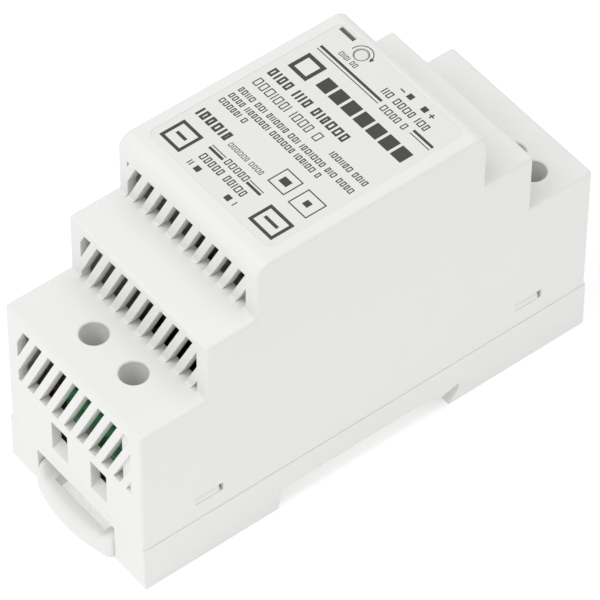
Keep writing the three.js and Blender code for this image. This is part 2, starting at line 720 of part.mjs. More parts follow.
function makeBoards() {
  // The board's long edges are notched where the snap tabs of the base pass it.
  const notches = snapCentres.flatMap((y) => [-1, 1].map((side) => block(
    side * innerX, y, boardBottom - OVERSHOOT,
    2 * (SNAP_TAB + SLACK + GAP), SNAP_LENGTH + 2 * GAP, BOARD_THICK + 2 * OVERSHOOT,
  )));
  const sheetNotches = notches.map((notch) => notch.translate([0, 0, -BOARD_THICK]));
  const outline = roundedRectangle(0, 0, 2 * boardHalfX, 2 * boardHalfY, BOARD_CORNER, 2);
  const holes = contactPins().map(([x, y]) => block(
    x, y, boardBottom - OVERSHOOT, CONTACT_WIDTH / 2 + 2 * SLACK, CONTACT_THICK + 2 * SLACK,
    BOARD_THICK + 2 * OVERSHOOT,
  ));
  add('main_board', cut(alongZ(outline, boardBottom, boardTop), [...notches, ...holes]), 0x2e6b3e, 0.55);
  add(
    'insulation_sheet',
    cut(alongZ(outline, sheetBottom, sheetBottom + SHEET_THICK), sheetNotches),
    0xe8e4d0, 0.35,
  );

  const left = -boardHalfX;
  add('control_board', box(
    [left, CONTROL_BOARD_Y - CONTROL_BOARD_THICK / 2, boardTop + SLACK],
    [left + CONTROL_BOARD_WIDTH, controlFace, FRONT - WALL - CONTROL_BOARD_DROP],
  ), 0x2e6b3e, 0.55);
  const chipBack = CONTROL_BOARD_Y - CONTROL_BOARD_THICK / 2 - SLACK;
  add('controller_chip', box(
    [left + CHIP.left, chipBack - CHIP.thick, boardTop + CHIP.lift],
    [left + CHIP.left + CHIP.width, chipBack, boardTop + CHIP.lift + CHIP.height],
  ), 0x1c1c1e, 0.5);
}

// ---- Screw terminals: green housing, and for each pole a contact, a rising cage and a screw ----

const cageBottom = boardTop + CAGE_STAND;
const contactTop = cageBottom + CAGE_HEIGHT - CAGE_NUT - GAP;
const screwTip = contactTop + SLACK;
const headBottom = cageBottom + CAGE_HEIGHT + CAGE_LIFT + GAP;

// side is -1 for the mains end and 1 for the output end; ways is the number of poles it is wide.
function makeTerminal(prefix, side, ways, centre, poles) {
  const y = side * terminalY;
  const front = y + side * TERMINAL_DEPTH / 2;
  const back = y - side * TERMINAL_DEPTH / 2;
  const top = boardTop + TERMINAL_HEIGHT;
  const pins = side * contactPinY;
  const wireBottom = cageBottom + CAGE_FLOOR;
  const wireTop = contactTop - CONTACT_THICK;
  const pocketWidth = CAGE_WIDTH + 2 * SLACK;
  const pocketDepth = CAGE_DEPTH + 2 * SLACK;

  const profile = [
    [back, boardTop],
    [front, boardTop],
    [front, top - TERMINAL_CHAMFER],
    [front - side * TERMINAL_CHAMFER, top],
    [back, top],
  ];
  const body = alongX(profile, centre - ways * POLE_PITCH / 2, centre + ways * POLE_PITCH / 2);
  const cavities = Object.values(poles).flatMap((x) => [
    block(x, y, boardTop + GAP, pocketWidth, pocketDepth, headBottom - boardTop - GAP),
    rod(x, y, headBottom - SLACK, SCREW_HEAD + 4 * SLACK, top - headBottom + OVERSHOOT),
    block(x, front, wireBottom, CONTACT_WIDTH + OVERSHOOT, TERMINAL_DEPTH, wireTop - wireBottom),
    block(x, (y + pins) / 2, contactTop - CONTACT_THICK - SLACK, CONTACT_WIDTH + 2 * SLACK,
      Math.abs(y - pins) + CONTACT_THICK + 2 * SLACK, CONTACT_THICK + 2 * SLACK),
    block(x, pins, boardTop - OVERSHOOT, CONTACT_WIDTH + 2 * SLACK, CONTACT_THICK + 2 * SLACK,
      contactTop - boardTop + OVERSHOOT),
  ]);
  add(`${prefix}_terminal_housing`, cut(body, cavities), 0x3f9a5a, 0.5);

  for (const [pole, x] of Object.entries(poles)) {
    makePole(`${prefix}_`, `_${pole}`, x, y, side, pins);
  }
}

function makePole(before, after, x, y, side, pins) {
  // The fixed contact lies through the cage and turns down into the board.
  const barEnd = y + side * (CAGE_DEPTH / 2 - SLACK);
  const bar = box(
    [x - CONTACT_WIDTH / 2, Math.min(barEnd, pins), contactTop - CONTACT_THICK],
    [x + CONTACT_WIDTH / 2, Math.max(barEnd, pins), contactTop],
  );
  const leg = block(x, pins, boardTop + SLACK, CONTACT_WIDTH, CONTACT_THICK, contactTop - boardTop - SLACK);
  const pin = block(x, pins, boardBottom, CONTACT_WIDTH / 2, CONTACT_THICK, BOARD_THICK + OVERSHOOT);
  add(`${before}contact${after}`, join([bar, leg, pin]), 0xc9c4b4, 0.3, 1);

  // The cage is a square ring round the contact; its thick top is the nut of the clamping screw.
  const ring = block(x, y, cageBottom, CAGE_WIDTH, CAGE_DEPTH, CAGE_HEIGHT);
  const window = block(x, y, cageBottom + CAGE_FLOOR, CAGE_WIDTH - 2 * CAGE_WALL,
    CAGE_DEPTH + OVERSHOOT, CAGE_HEIGHT - CAGE_FLOOR - CAGE_NUT);
  const thread = rod(x, y, cageBottom + CAGE_HEIGHT / 2, SCREW_SHANK + 2 * SLACK, CAGE_HEIGHT, 16);
  add(`${before}clamp${after}`, cut(ring, [window, thread]), 0xb9bcc0, 0.3, 1);

  const shank = rod(x, y, screwTip, SCREW_SHANK, headBottom - screwTip + SLACK, 16);
  const head = rod(x, y, headBottom, SCREW_HEAD, SCREW_HEAD_HEIGHT);
  const slot = block(x, y, headBottom + SCREW_HEAD_HEIGHT / 2, SCREW_HEAD + OVERSHOOT, SCREW_SLOT,
    SCREW_HEAD_HEIGHT);
  add(`${before}screw${after}`, shank.add(head).subtract(slot), 0xc2c5c9, 0.28, 1);
}

// ---- Wound parts: two E-shaped core halves, a bobbin and a winding round the middle leg ----

function makeWound(prefix, x, y, bottom, { width, height, depth, leg, wound, flange }, colors) {
  const yoke = leg / 2;
  const windowWidth = (width - 2 * leg) / 2;
  const middle = bottom + height / 2;
  for (const [half, sign] of [['lower', -1], ['upper', 1]]) {
    const joint = middle + sign * SLACK / 2;
    const face = middle + sign * height / 2;
    const windowEnds = [face - sign * yoke, middle - sign * OVERSHOOT];
    const body = box(
      [x - width / 2, y - depth / 2, Math.min(joint, face)],
      [x + width / 2, y + depth / 2, Math.max(joint, face)],
    );
    const windows = [-1, 1].map((side) => {
      const centre = x + side * (leg + windowWidth) / 2;
      return box(
        [centre - windowWidth / 2, y - depth, Math.min(...windowEnds)],
        [centre + windowWidth / 2, y + depth, Math.max(...windowEnds)],
      );
    });
    add(`${prefix}_core_${half}`, cut(body, windows), colors.core, 0.7);
  }

  const tubeWall = 0.6;
  const low = bottom + yoke + SLACK;
  const high = bottom + height - yoke - SLACK;
  const loop = (grow, from, to) => alongZ(
    roundedRectangle(x, y, leg + 2 * grow, depth + 2 * grow, grow, 3), from, to,
  );
  const bore = block(x, y, low - OVERSHOOT, leg + 2 * SLACK, depth + 2 * SLACK,
    high - low + 2 * OVERSHOOT);
  const bobbin = join([
    loop(SLACK + tubeWall, low, high),
    loop(flange, low, low + tubeWall),
    loop(flange, high - tubeWall, high),
  ]).subtract(bore);
  add(`${prefix}_bobbin`, bobbin, colors.bobbin, 0.5);
  const coil = loop(wound, low + tubeWall + SLACK, high - tubeWall - SLACK)
    .subtract(loop(2 * SLACK + tubeWall, low, high));
  add(`${prefix}_winding`, coil, colors.winding, 0.45);
}

// ---- Standing parts ----

// Round leads from just above the board's face into the foot of a part.
function leads(points, diameter = LEAD) {
  return points.map(([x, y]) => rod(x, y, boardTop + SLACK, diameter, LEAD_LENGTH, 8));
}

// A radial electrolytic can: crimp groove near its foot, two leads into the board.
function makeCan(name, x, y, { diameter, height }, color) {
  const radius = diameter / 2;
  const foot = boardTop + 4 * SLACK;
  const top = foot + height;
  const edge = 0.5;
  const crimp = 2.2;
  const can = turned([
    [0, foot],
    [radius - edge, foot],
    [radius, foot + edge],
    [radius, foot + crimp - edge],
    [radius - edge, foot + crimp],
    [radius, foot + crimp + edge],
    [radius, top - edge],
    [radius - edge, top],
    [0, top],
  ], x, y);
  const spacing = diameter / 4;
  add(name, join([can, ...leads([[x - spacing, y], [x + spacing, y]])]), color, 0.4);
}

// A dipped disc standing on two legs, its faces towards X.
function makeDisc(name, x, y, { diameter, thick }, color) {
  const geometry = new THREE.CylinderGeometry(diameter / 2, diameter / 2, thick, 24);
  geometry.rotateZ(Math.PI / 2);
  geometry.translate(x, y, boardTop + LEGS_LENGTH / 2 + diameter / 2);
  const legs = [-1, 1].map((side) => block(
    x, y + side * diameter / 4, boardTop + SLACK, LEAD, LEAD, 2 * LEGS_LENGTH,
  ));
  add(name, join([solid(geometry), ...legs]), color, 0.5);
}

// A three-legged power package with a bolt hole in its tab; the tab faces -Y before it is turned.
function makePackage(name, x, y, quarterTurns) {
  const { width, thick, height, tabHeight, tabThick, stand } = PACKAGE;
  const bottom = boardTop + stand;
  const legPitch = POLE_PITCH / 2;
  const holeDiameter = 3.4;
  const hole = alongY(
    arc(0, bottom + (height + tabHeight) / 2, holeDiameter / 2, 0, 4, 12).slice(0, -1), -thick, thick,
  );
  const body = join([
    block(0, 0, bottom, width, thick, height),
    block(0, (tabThick - thick) / 2, bottom, width, tabThick, tabHeight),
    ...[-legPitch, 0, legPitch].map((offset) => block(
      offset, 0, boardTop + SLACK, LEAD, LEAD, stand + OVERSHOOT,
    )),
  ]);
  const placed = body.subtract(hole).rotate([0, 0, 90 * quarterTurns]).translate([x, y, 0]);
  add(name, placed, 0x1f1f21, 0.5);
}

// Centre of a part that stands at the left or right edge of the main board.
function fromLeft(width, gap = EDGE_GAP) {
  return -boardHalfX + gap + width / 2;
}

function fromRight(width, gap = EDGE_GAP) {
  return boardHalfX - gap - width / 2;
}

function makeMainsSide() {
  const fuseX = fromLeft(FUSE.diameter);
  const fuseLeads = leads([[fuseX - POLE_PITCH / 2, -terminalY], [fuseX + POLE_PITCH / 2, -terminalY]]);
  const fuse = rod(fuseX, -terminalY, boardTop + 5 * SLACK, FUSE.diameter, FUSE.height);
  add('input_fuse', join([fuse, ...fuseLeads]), 0x6b4a2e, 0.5);
  makeDisc('surge_varistor', fromRight(VARISTOR.thick, TAB_GAP), -terminalY, VARISTOR, 0x2f62a8);

  const filterY = -terminalY + FILTER_ROW;
  makeDisc('inrush_thermistor', fromLeft(THERMISTOR.thick, TAB_GAP), filterY, THERMISTOR, 0x23402f);
  const { width, depth, height, right } = FILTER_CAPACITOR;
  const filmX = fromRight(width) - right;
  const film = join([
    block(filmX, filterY, boardTop + 4 * SLACK, width, depth, height),
    ...leads([[filmX - width / 3, filterY], [filmX + width / 3, filterY]]),
  ]);
  add('suppression_capacitor', film, 0xd8b23a, 0.5);

  const reservoirY = WALL - halfShoulder + RESERVOIR_ROW;
  makeWound('choke', fromLeft(CHOKE.width), reservoirY, boardTop + OVERSHOOT, CHOKE,
    { core: 0x33343a, bobbin: 0x2b2b2d, winding: 0xa8632b });
  makeCan('bulk_capacitor', fromRight(BULK_CAPACITOR.diameter), reservoirY, BULK_CAPACITOR, 0x25272c);

  const bridgeX = fromLeft(CHOKE.width) - EDGE_GAP;
  const bridgeY = reservoirY + BRIDGE.behindChoke;
  const legPitch = BRIDGE.width / 4;
  const bridge = join([
    block(bridgeX, bridgeY, boardTop + OVERSHOOT, BRIDGE.width, BRIDGE.depth, BRIDGE.height),
    ...[-1.5, -0.5, 0.5, 1.5].map((step) => block(
      bridgeX + step * legPitch, bridgeY, boardTop + SLACK, LEAD, LEAD, LEGS_LENGTH,
    )),
  ]);
  add('bridge_rectifier', bridge, 0x1e1e20, 0.5);
}

function makeConversion() {
  const transformerX = fromRight(TRANSFORMER.width) - EDGE_GAP;
  makeWound('transformer', transformerX, TRANSFORMER_Y, boardTop + OVERSHOOT, TRANSFORMER,
    { core: 0x3a3b40, bobbin: 0x2b2b2d, winding: 0xe3c84a });

  const plateX = fromLeft(HEATSINK_THICK);
  add('primary_heatsink', block(plateX, TRANSFORMER_Y, boardTop + SLACK, HEATSINK_THICK,
    PRIMARY_HEATSINK_LENGTH, HEATSINK_HEIGHT), 0xb4b8bc, 0.4, 1);
  const packageStep = (HEATSINK_THICK + PACKAGE.thick) / 2 + SLACK;
  makePackage('switching_transistor', plateX + packageStep, TRANSFORMER_Y, -1);

  const secondaryX = fromRight(SECONDARY_HEATSINK_LENGTH);
  add('secondary_heatsink', block(secondaryX, SECONDARY_HEATSINK_Y, boardTop + SLACK,
    SECONDARY_HEATSINK_LENGTH, HEATSINK_THICK, HEATSINK_HEIGHT), 0xb4b8bc, 0.4, 1);
  makePackage('output_rectifier', secondaryX, SECONDARY_HEATSINK_Y + packageStep, 0);
}

function makeOutputSide() {
  const outputY = halfShoulder - WALL - OUTPUT_ROW;
  const leftX = fromLeft(OUTPUT_CAPACITOR.diameter);
  makeCan('output_capacitor_left', leftX, outputY, OUTPUT_CAPACITOR, 0x2a2f45);
  makeCan('output_capacitor_right', leftX + OUTPUT_CAPACITOR.pitch, outputY, OUTPUT_CAPACITOR, 0x2a2f45);
  makeDisc(
    'safety_capacitor', fromLeft(SAFETY_CAPACITOR.thick, TAB_GAP), terminalY, SAFETY_CAPACITOR, 0x3a78c2,
  );

  const { width, depth, height, left } = OPTOCOUPLER;
  const optoX = fromLeft(width) + left;
  const opto = join([
    block(optoX, terminalY, boardTop + OVERSHOOT / 2, width, depth, height),
    ...[-1, 1].flatMap((a) => [-1, 1].map((b) => block(
      optoX + a * width / 4, terminalY + b * depth / 2, boardTop + SLACK, LEAD, LEAD, LEGS_LENGTH,
    ))),
  ]);
  add('optocoupler', opto, 0x1c1c1e, 0.5);

  const drumX = fromRight(INDUCTOR.diameter);
  const radius = INDUCTOR.diameter / 2;
  const core = INDUCTOR.core / 2;
  const low = boardTop + OVERSHOOT / 2;
  const high = low + INDUCTOR.height;
  const drum = turned([
    [0, low],
    [radius, low],
    [radius, low + INDUCTOR.cheek],
    [core, low + INDUCTOR.cheek],
    [core, high - INDUCTOR.cheek],
    [radius, high - INDUCTOR.cheek],
    [radius, high],
    [0, high],
  ], drumX, outputY);
  add('output_inductor_core', drum, 0x35363b, 0.7);
  const coilLow = low + INDUCTOR.cheek + SLACK;
  const coilHigh = high - INDUCTOR.cheek - SLACK;
  const coil = rod(drumX, outputY, coilLow, INDUCTOR.diameter - 2 * SLACK, coilHigh - coilLow)
    .subtract(rod(drumX, outputY, low, INDUCTOR.core + 2 * SLACK, INDUCTOR.height));
  add('output_inductor_winding', coil, 0xb06a2e, 0.35);
}

makeFrontCover();
makeRearBase();
makeRailClip();
makeClipSpring();
makeLabel();
makeIndicator();
makeTrimmer();
makeBoards();
makeTerminal('ac', -1, 3, AC_CENTRE, acPoles);
makeTerminal('dc', 1, 2, DC_CENTRE, dcPoles);
makeMainsSide();
makeConversion();
makeOutputSide();

export default powerSupply;
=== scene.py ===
# A two-module power supply for a 35 mm rail, lying on its back: white snap-together housing with
# slanted vents, a sprung rail clip, a printed label and the converter inside.

import math
import random

import bmesh
import bpy
from mathutils import Matrix, Vector


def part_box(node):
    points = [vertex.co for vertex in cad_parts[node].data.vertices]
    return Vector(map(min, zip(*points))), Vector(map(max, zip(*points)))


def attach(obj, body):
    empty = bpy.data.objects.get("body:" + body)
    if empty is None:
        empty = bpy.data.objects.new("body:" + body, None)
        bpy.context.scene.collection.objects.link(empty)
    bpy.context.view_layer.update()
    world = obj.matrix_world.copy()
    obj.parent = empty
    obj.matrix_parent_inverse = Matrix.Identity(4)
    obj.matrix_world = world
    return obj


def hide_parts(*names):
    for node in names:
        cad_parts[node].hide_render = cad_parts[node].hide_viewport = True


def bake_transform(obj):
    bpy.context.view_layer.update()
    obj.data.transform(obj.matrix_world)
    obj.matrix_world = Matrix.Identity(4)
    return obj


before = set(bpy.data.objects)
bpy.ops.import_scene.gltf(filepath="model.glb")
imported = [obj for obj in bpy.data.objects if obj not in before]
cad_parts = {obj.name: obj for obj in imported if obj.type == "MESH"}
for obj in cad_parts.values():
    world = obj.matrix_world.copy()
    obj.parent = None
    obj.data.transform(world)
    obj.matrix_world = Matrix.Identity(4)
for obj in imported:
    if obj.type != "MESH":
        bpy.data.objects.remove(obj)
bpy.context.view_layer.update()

# ---- Stage: floor, studio light and camera ----
# A matt white table under two large soft boxes and an even white surround. The camera stands off the
# +X, mains-end corner and looks down steeply with a long lens.

MM = 0.001


def srgb(code, alpha=1.0):
    """An sRGB hex colour as linear RGBA."""
    parts = [int(code[i:i + 2], 16) / 255 for i in (0, 2, 4)]
    linear = [c / 12.92 if c <= 0.04045 else ((c + 0.055) / 1.055) ** 2.4 for c in parts]
    return (*linear, alpha)


def add_node(tree, kind, settings=None, inputs=None):
    """Adds a node; settings are its properties, inputs are values or sockets to link from."""
    made = tree.nodes.new(kind)
    for key, value in (settings or {}).items():
        setattr(made, key, value)
    for key, value in (inputs or {}).items():
        if isinstance(value, bpy.types.NodeSocket):
            tree.links.new(value, made.inputs[key])
        else:
            made.inputs[key].default_value = value
    return made


def new_material(name):
    """An empty node material; returns it with its tree."""
    material = bpy.data.materials.new(name)
    material.use_nodes = True
    material.node_tree.nodes.clear()
    return material, material.node_tree


def finish_surface(tree, inputs):
    """Ends a material in one Principled surface with the given inputs."""
    surface = add_node(tree, "ShaderNodeBsdfPrincipled", inputs=inputs)
    add_node(tree, "ShaderNodeOutputMaterial", inputs={"Surface": surface.outputs["BSDF"]})


def mesh_piece(name, vertices, faces, material=None):
    """A mesh object from millimetre points; faces are turned outward."""
    mesh = bpy.data.meshes.new(name)
    mesh.from_pydata(vertices, [], faces)
    work = bmesh.new()
    work.from_mesh(mesh)
    bmesh.ops.remove_doubles(work, verts=work.verts, dist=1e-4)
    bmesh.ops.recalc_face_normals(work, faces=work.faces)
    work.to_mesh(mesh)
    work.free()
    made = bpy.data.objects.new(name, mesh)
    bpy.context.scene.collection.objects.link(made)
    if material:
        mesh.materials.append(material)
    return made


# Matt white laminate with a faint glow of its own, so that it stays plain white all round the part.
paper, tree = new_material("matt_white_table")
finish_surface(tree, {
    "Base Color": srgb("FAFAFA"), "Roughness": 0.9,
    "Emission Color": srgb("FFFFFF"), "Emission Strength": 0.28})
FEET, TABLE_HALF = -3.05, 3000
table_z = FEET - 0.02
floor = mesh_piece("table_top", [
    (-TABLE_HALF, -TABLE_HALF, table_z), (TABLE_HALF, -TABLE_HALF, table_z),
    (TABLE_HALF, TABLE_HALF, table_z), (-TABLE_HALF, TABLE_HALF, table_z),
], [(0, 1, 2, 3)], paper)
floor.data.transform(Matrix.Scale(MM, 4))

world = bpy.data.worlds.new("white_surround")
world.use_nodes = True
world.node_tree.nodes.clear()
shine = add_node(world.node_tree, "ShaderNodeBackground", inputs={"Color": (1, 1, 1, 1), "Strength": 0.5})
add_node(world.node_tree, "ShaderNodeOutputWorld", inputs={"Surface": shine.outputs["Background"]})
bpy.context.scene.world = world


def soft_box(name, place, aim, size, power):
    """A square area light at a place in metres, turned towards a point."""
    data = bpy.data.lights.new(name, "AREA")
    data.shape = "SQUARE"
    data.size = size
    data.energy = power
    made = bpy.data.objects.new(name, data)
    bpy.context.scene.collection.objects.link(made)
    made.location = place
    made.rotation_euler = (Vector(aim) - Vector(place)).to_track_quat("-Z", "Y").to_euler()


soft_box("key_soft_box", (-0.12, -0.55, 0.95), (0, 0, 0.02), 0.7, 3.4)
soft_box("top_soft_box", (0.1, 0.1, 1.1), (0, 0, 0), 0.9, 3.3)

scene = bpy.context.scene
scene.view_settings.view_transform = "Standard"
scene.view_settings.look = "None"

azimuth = math.radians(51.43)
elevation = math.radians(48.90)
roll = math.radians(0.362)
back = Vector((
    math.sin(azimuth) * math.cos(elevation),
    -math.cos(azimuth) * math.cos(elevation),
    math.sin(elevation),
))
right = Vector((math.cos(azimuth), math.sin(azimuth), 0))
up = back.cross(right)
turn = Matrix.Rotation(roll, 3, back)
right, up = turn @ right, turn @ up
camera_data = bpy.data.cameras.new("view")
camera_data.sensor_width = 36
camera_data.lens = 302.77
camera_data.clip_start = 0.05
camera_data.clip_end = 20
camera = bpy.data.objects.new("view", camera_data)
scene.collection.objects.link(camera)
camera.matrix_world = Matrix((right, up, back)).transposed().to_4x4()
aside, above, away, aim = -0.00018796, 0.01131651, 0.81581797, Vector((0, 0, 0.0012))
camera.location = right * aside + up * above + back * away + aim
scene.camera = camera

# ---- Front cover ----
# One injection moulding in white PC/ABS: a stepped box open at the back, with slanted vents at both
# ends of every tier, wire entries, screwdriver holes and two snap windows in each long side.


def prism(name, outline, along, low, high):
    """A closed bar: a two-coordinate outline carried along one axis from low to high."""
    def place(a, b, c):
        return {"X": (c, a, b), "Y": (a, c, b), "Z": (a, b, c)}[along]
    count = len(outline)
    vertices = [place(a, b, low) for a, b in outline] + [place(a, b, high) for a, b in outline]
    faces = [tuple(range(count)), tuple(range(2 * count - 1, count - 1, -1))]
    faces += [(i, (i + 1) % count, (i + 1) % count + count, i + count) for i in range(count)]
    return mesh_piece(name, vertices, faces)


def cuboid(name, low, high):
    """A box between two corners."""
    outline = [(low[0], low[1]), (high[0], low[1]), (high[0], high[1]), (low[0], high[1])]
    return prism(name, outline, "Z", low[2], high[2])


def lathe(name, profile, x, y, sides=48):
    """A turned solid about a vertical axis at x, y; the profile of (radius, z) starts and ends on it."""
    rings = []
    vertices = []
    for radius, z in profile:
        if radius == 0:
            rings.append([len(vertices)] * sides)
            vertices.append((x, y, z))
            continue
        rings.append(list(range(len(vertices), len(vertices) + sides)))
        for i in range(sides):
            angle = 2 * math.pi * i / sides
            vertices.append((x + radius * math.cos(angle), y + radius * math.sin(angle), z))
    faces = []
    for lower, upper in zip(rings, rings[1:]):
        for i in range(sides):
            j = (i + 1) % sides
            corners = dict.fromkeys((lower[i], lower[j], upper[j], upper[i]))
            if len(corners) > 2:
                faces.append(tuple(corners))
    return mesh_piece(name, vertices, faces)


def bake(piece):
    """Turns a piece's live modifiers into plain mesh."""
    bpy.context.view_layer.update()
    evaluated = piece.evaluated_get(bpy.context.evaluated_depsgraph_get())
    mesh = bpy.data.meshes.new_from_object(evaluated)
    piece.modifiers.clear()
    old = piece.data
    piece.data = mesh
    bpy.data.meshes.remove(old)
    mesh.name = piece.name
    return piece


def remove(piece):
    mesh = piece.data
    bpy.data.objects.remove(piece)
    bpy.data.meshes.remove(mesh)


def combine(piece, tools, operation):
    """Cuts the tools out of a piece one by one, or joins them to it, and removes them."""
    for tool in tools:
        modifier = piece.modifiers.new("combine", "BOOLEAN")
        modifier.operation = operation
        modifier.solver = "EXACT"
        modifier.object = tool
        bake(piece)
        remove(tool)
    return piece


def cut(piece, tools):
    return combine(piece, tools, "DIFFERENCE")


def join(piece, tools):
    return combine(piece, tools, "UNION")


def soften(piece, width, segments=3, share=None, sharper=30):
    """Rounds the edges sharper than an angle; share gives the part of the width each middle point gets."""
    work = bmesh.new()
    work.from_mesh(piece.data)
    weights = work.edges.layers.float.get("bevel_weight_edge")
    if weights is None:
        weights = work.edges.layers.float.new("bevel_weight_edge")
    for edge in work.edges:
        middle = (edge.verts[0].co + edge.verts[1].co) / 2
        sharp = len(edge.link_faces) == 2 and edge.calc_face_angle(0) > math.radians(sharper)
        edge[weights] = 0.0 if not sharp else 1.0 if share is None else float(share(middle))
    work.to_mesh(piece.data)
    work.free()
    modifier = piece.modifiers.new("soften", "BEVEL")
    modifier.limit_method = "WEIGHT"
    modifier.width = width
    modifier.segments = segments
    modifier.use_clamp_overlap = True
    return bake(piece)


def shade(piece, angle=38):
    """Smooth shading that keeps flats flat, with edges over the angle left crisp."""
    work = bmesh.new()
    work.from_mesh(piece.data)
    for face in work.faces:
        face.smooth = True
    for edge in work.edges:
        edge.smooth = edge.calc_face_angle(0) < math.radians(angle)
    work.to_mesh(piece.data)
    work.free()
    modifier = piece.modifiers.new("flats", "WEIGHTED_NORMAL")
    modifier.keep_sharp = True
    modifier.weight = 100
    return bake(piece)


def settle(piece, material, node, body="housing"):
    """Finishes a piece: clean, in metres, its one material and shading, the CAD node it stands for."""
    work = bmesh.new()
    work.from_mesh(piece.data)
    bmesh.ops.dissolve_degenerate(work, dist=5e-4, edges=work.edges)
    bmesh.ops.remove_doubles(work, verts=work.verts, dist=5e-4)
    work.to_mesh(piece.data)
    work.free()
    piece.data.transform(Matrix.Scale(MM, 4))
    piece.data.materials.clear()
    piece.data.materials.append(material)
    shade(piece)
    piece.name = node
    if body:
        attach(piece, body)
    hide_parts(node)
    return piece


def arc(x, y, radius, start, end, steps=10):
    """Points on an arc, with angles in quarter turns."""
    points = []
    for i in range(steps + 1):
        angle = (start + (end - start) * i / steps) * math.pi / 2
        points.append((x + radius * math.cos(angle), y + radius * math.sin(angle)))
    return points


def rounded(x, y, width, depth, radius, steps=8):
    """A rectangle with round corners."""
    a, b = width / 2 - radius, depth / 2 - radius
    return (arc(x + a, y + b, radius, 0, 1, steps) + arc(x - a, y + b, radius, 1, 2, steps)
            + arc(x - a, y - b, radius, 2, 3, steps) + arc(x + a, y - b, radius, 3, 4, steps))


def moulded_white(name, code):
    """Spark-eroded white moulding: a low even sheen broken by 0.12 mm grain, with soft mould edges."""
    material, tree = new_material(name)
    place = add_node(tree, "ShaderNodeTexCoord").outputs["Object"]
    grain = add_node(tree, "ShaderNodeTexNoise", inputs={
        "Vector": place, "Scale": 1 / (0.12 * MM), "Detail": 2.0, "Roughness": 0.6})
    cloud = add_node(tree, "ShaderNodeTexNoise", inputs={
        "Vector": place, "Scale": 1 / (9 * MM), "Detail": 2.0, "Roughness": 0.5})
    tone = add_node(tree, "ShaderNodeMix", {"data_type": "RGBA"}, {
        0: cloud.outputs["Fac"], 6: srgb(code), 7: tuple(c * 0.985 for c in srgb(code)[:3]) + (1,)})
    sheen = add_node(tree, "ShaderNodeMapRange", inputs={
        "Value": grain.outputs["Fac"], "To Min": 0.42, "To Max": 0.56})
    edge = add_node(tree, "ShaderNodeBevel", {"samples": 4}, {"Radius": 0.13 * MM})
    bump = add_node(tree, "ShaderNodeBump", inputs={
        "Height": grain.outputs["Fac"], "Normal": edge.outputs["Normal"],
        "Strength": 0.12, "Distance": 0.02 * MM})
    finish_surface(tree, {
        "Base Color": tone.outputs[2], "Roughness": sheen.outputs["Result"],
        "Normal": bump.outputs["Normal"], "IOR": 1.5})
    return material


housing_white = moulded_white("moulded_white_pc_abs", "F3F3F1")

HALF_WIDTH, HALF_HEIGHT, HALF_SHOULDER, HALF_WINDOW = 17.5, 45.0, 32.2, 22.5
LOW_STEP, HIGH_STEP, FRONT, PARTING, WALL = 33.5, 45.4, 56.8, 6.45, 1.8


def stepped(inset, bottom, round_front):
    """The housing's outline seen along the rail, drawn in by an inset."""
    window, front = HALF_WINDOW - inset, FRONT - inset
    half = [
        (HALF_HEIGHT - inset, bottom), (HALF_HEIGHT - inset, LOW_STEP - inset),
        (HALF_SHOULDER - inset, LOW_STEP - inset), (HALF_SHOULDER - inset, HIGH_STEP - inset),
        (window, HIGH_STEP - inset), *arc(window - round_front, front - round_front, round_front, 0, 1, 14),
    ]
    return half + [(-y, z) for y, z in reversed(half)]


cover = prism("front_cover", stepped(0, PARTING, 2.5), "X", -HALF_WIDTH, HALF_WIDTH)
soften(cover, 0.6, 4, lambda m: 1 if m.z > PARTING + 0.1 else 0)
cut(cover, [prism("cavity", stepped(WALL, PARTING - 2, 0.7), "X", WALL - HALF_WIDTH, HALF_WIDTH - WALL)])

SLOT_PITCH, SLOT_WIDTH, SLOT_LEAN = 3.22, 1.65, math.tan(math.radians(25.5))
SLIVER = 0.25


def clipped(points, low, high):
    """The part of a convex outline between two values of its first coordinate."""
    for limit, side in ((low, 1), (high, -1)):
        kept = []
        for (a, b), (c, d) in zip(points, points[1:] + points[:1]):
            inside, after = (a - limit) * side >= 0, (c - limit) * side >= 0
            if inside:
                kept.append((a, b))
            if inside != after:
                kept.append((limit, b + (d - b) * (limit - a) / (c - a)))
        points = kept
    return points


def vents(first, left, right, bottom, top, face, depth):
    """Cutters for one row of slanted slots in the end at -Y, trimmed to a field from left to right."""
    tools = []
    run = (top - bottom) * SLOT_LEAN
    corner = first
    while corner - SLOT_WIDTH - run < right:
        shape = clipped([
            (corner, top), (corner - SLOT_WIDTH, top),
            (corner - SLOT_WIDTH - run, bottom), (corner - run, bottom),
        ], left, right)
        if len(shape) > 2 and max(a for a, _ in shape) - min(a for a, _ in shape) > SLIVER:
            tools.append(prism("vent", shape, "Y", face - 1, face + depth))
        corner += SLOT_PITCH
    return tools


def end_vents():
    """Cutters for all vents in the end at -Y; the last slots of the low tier are only grooves."""
    field, through, groove = HALF_WIDTH - 2.9, WALL + 1, 0.55
    groove_start = 11.9
    return (
        vents(-11.07, -field, groove_start, 18.1, 31.0, -HALF_HEIGHT, through)
        + vents(-11.07, groove_start, field, 18.1, 31.0, -HALF_HEIGHT, groove)
        + vents(-11.82, -field, field + 0.3, LOW_STEP, 43.9, -HALF_SHOULDER, through)
        + vents(-14.5, -field - 0.5, field, HIGH_STEP, 53.1, -HALF_WINDOW, through)
    )


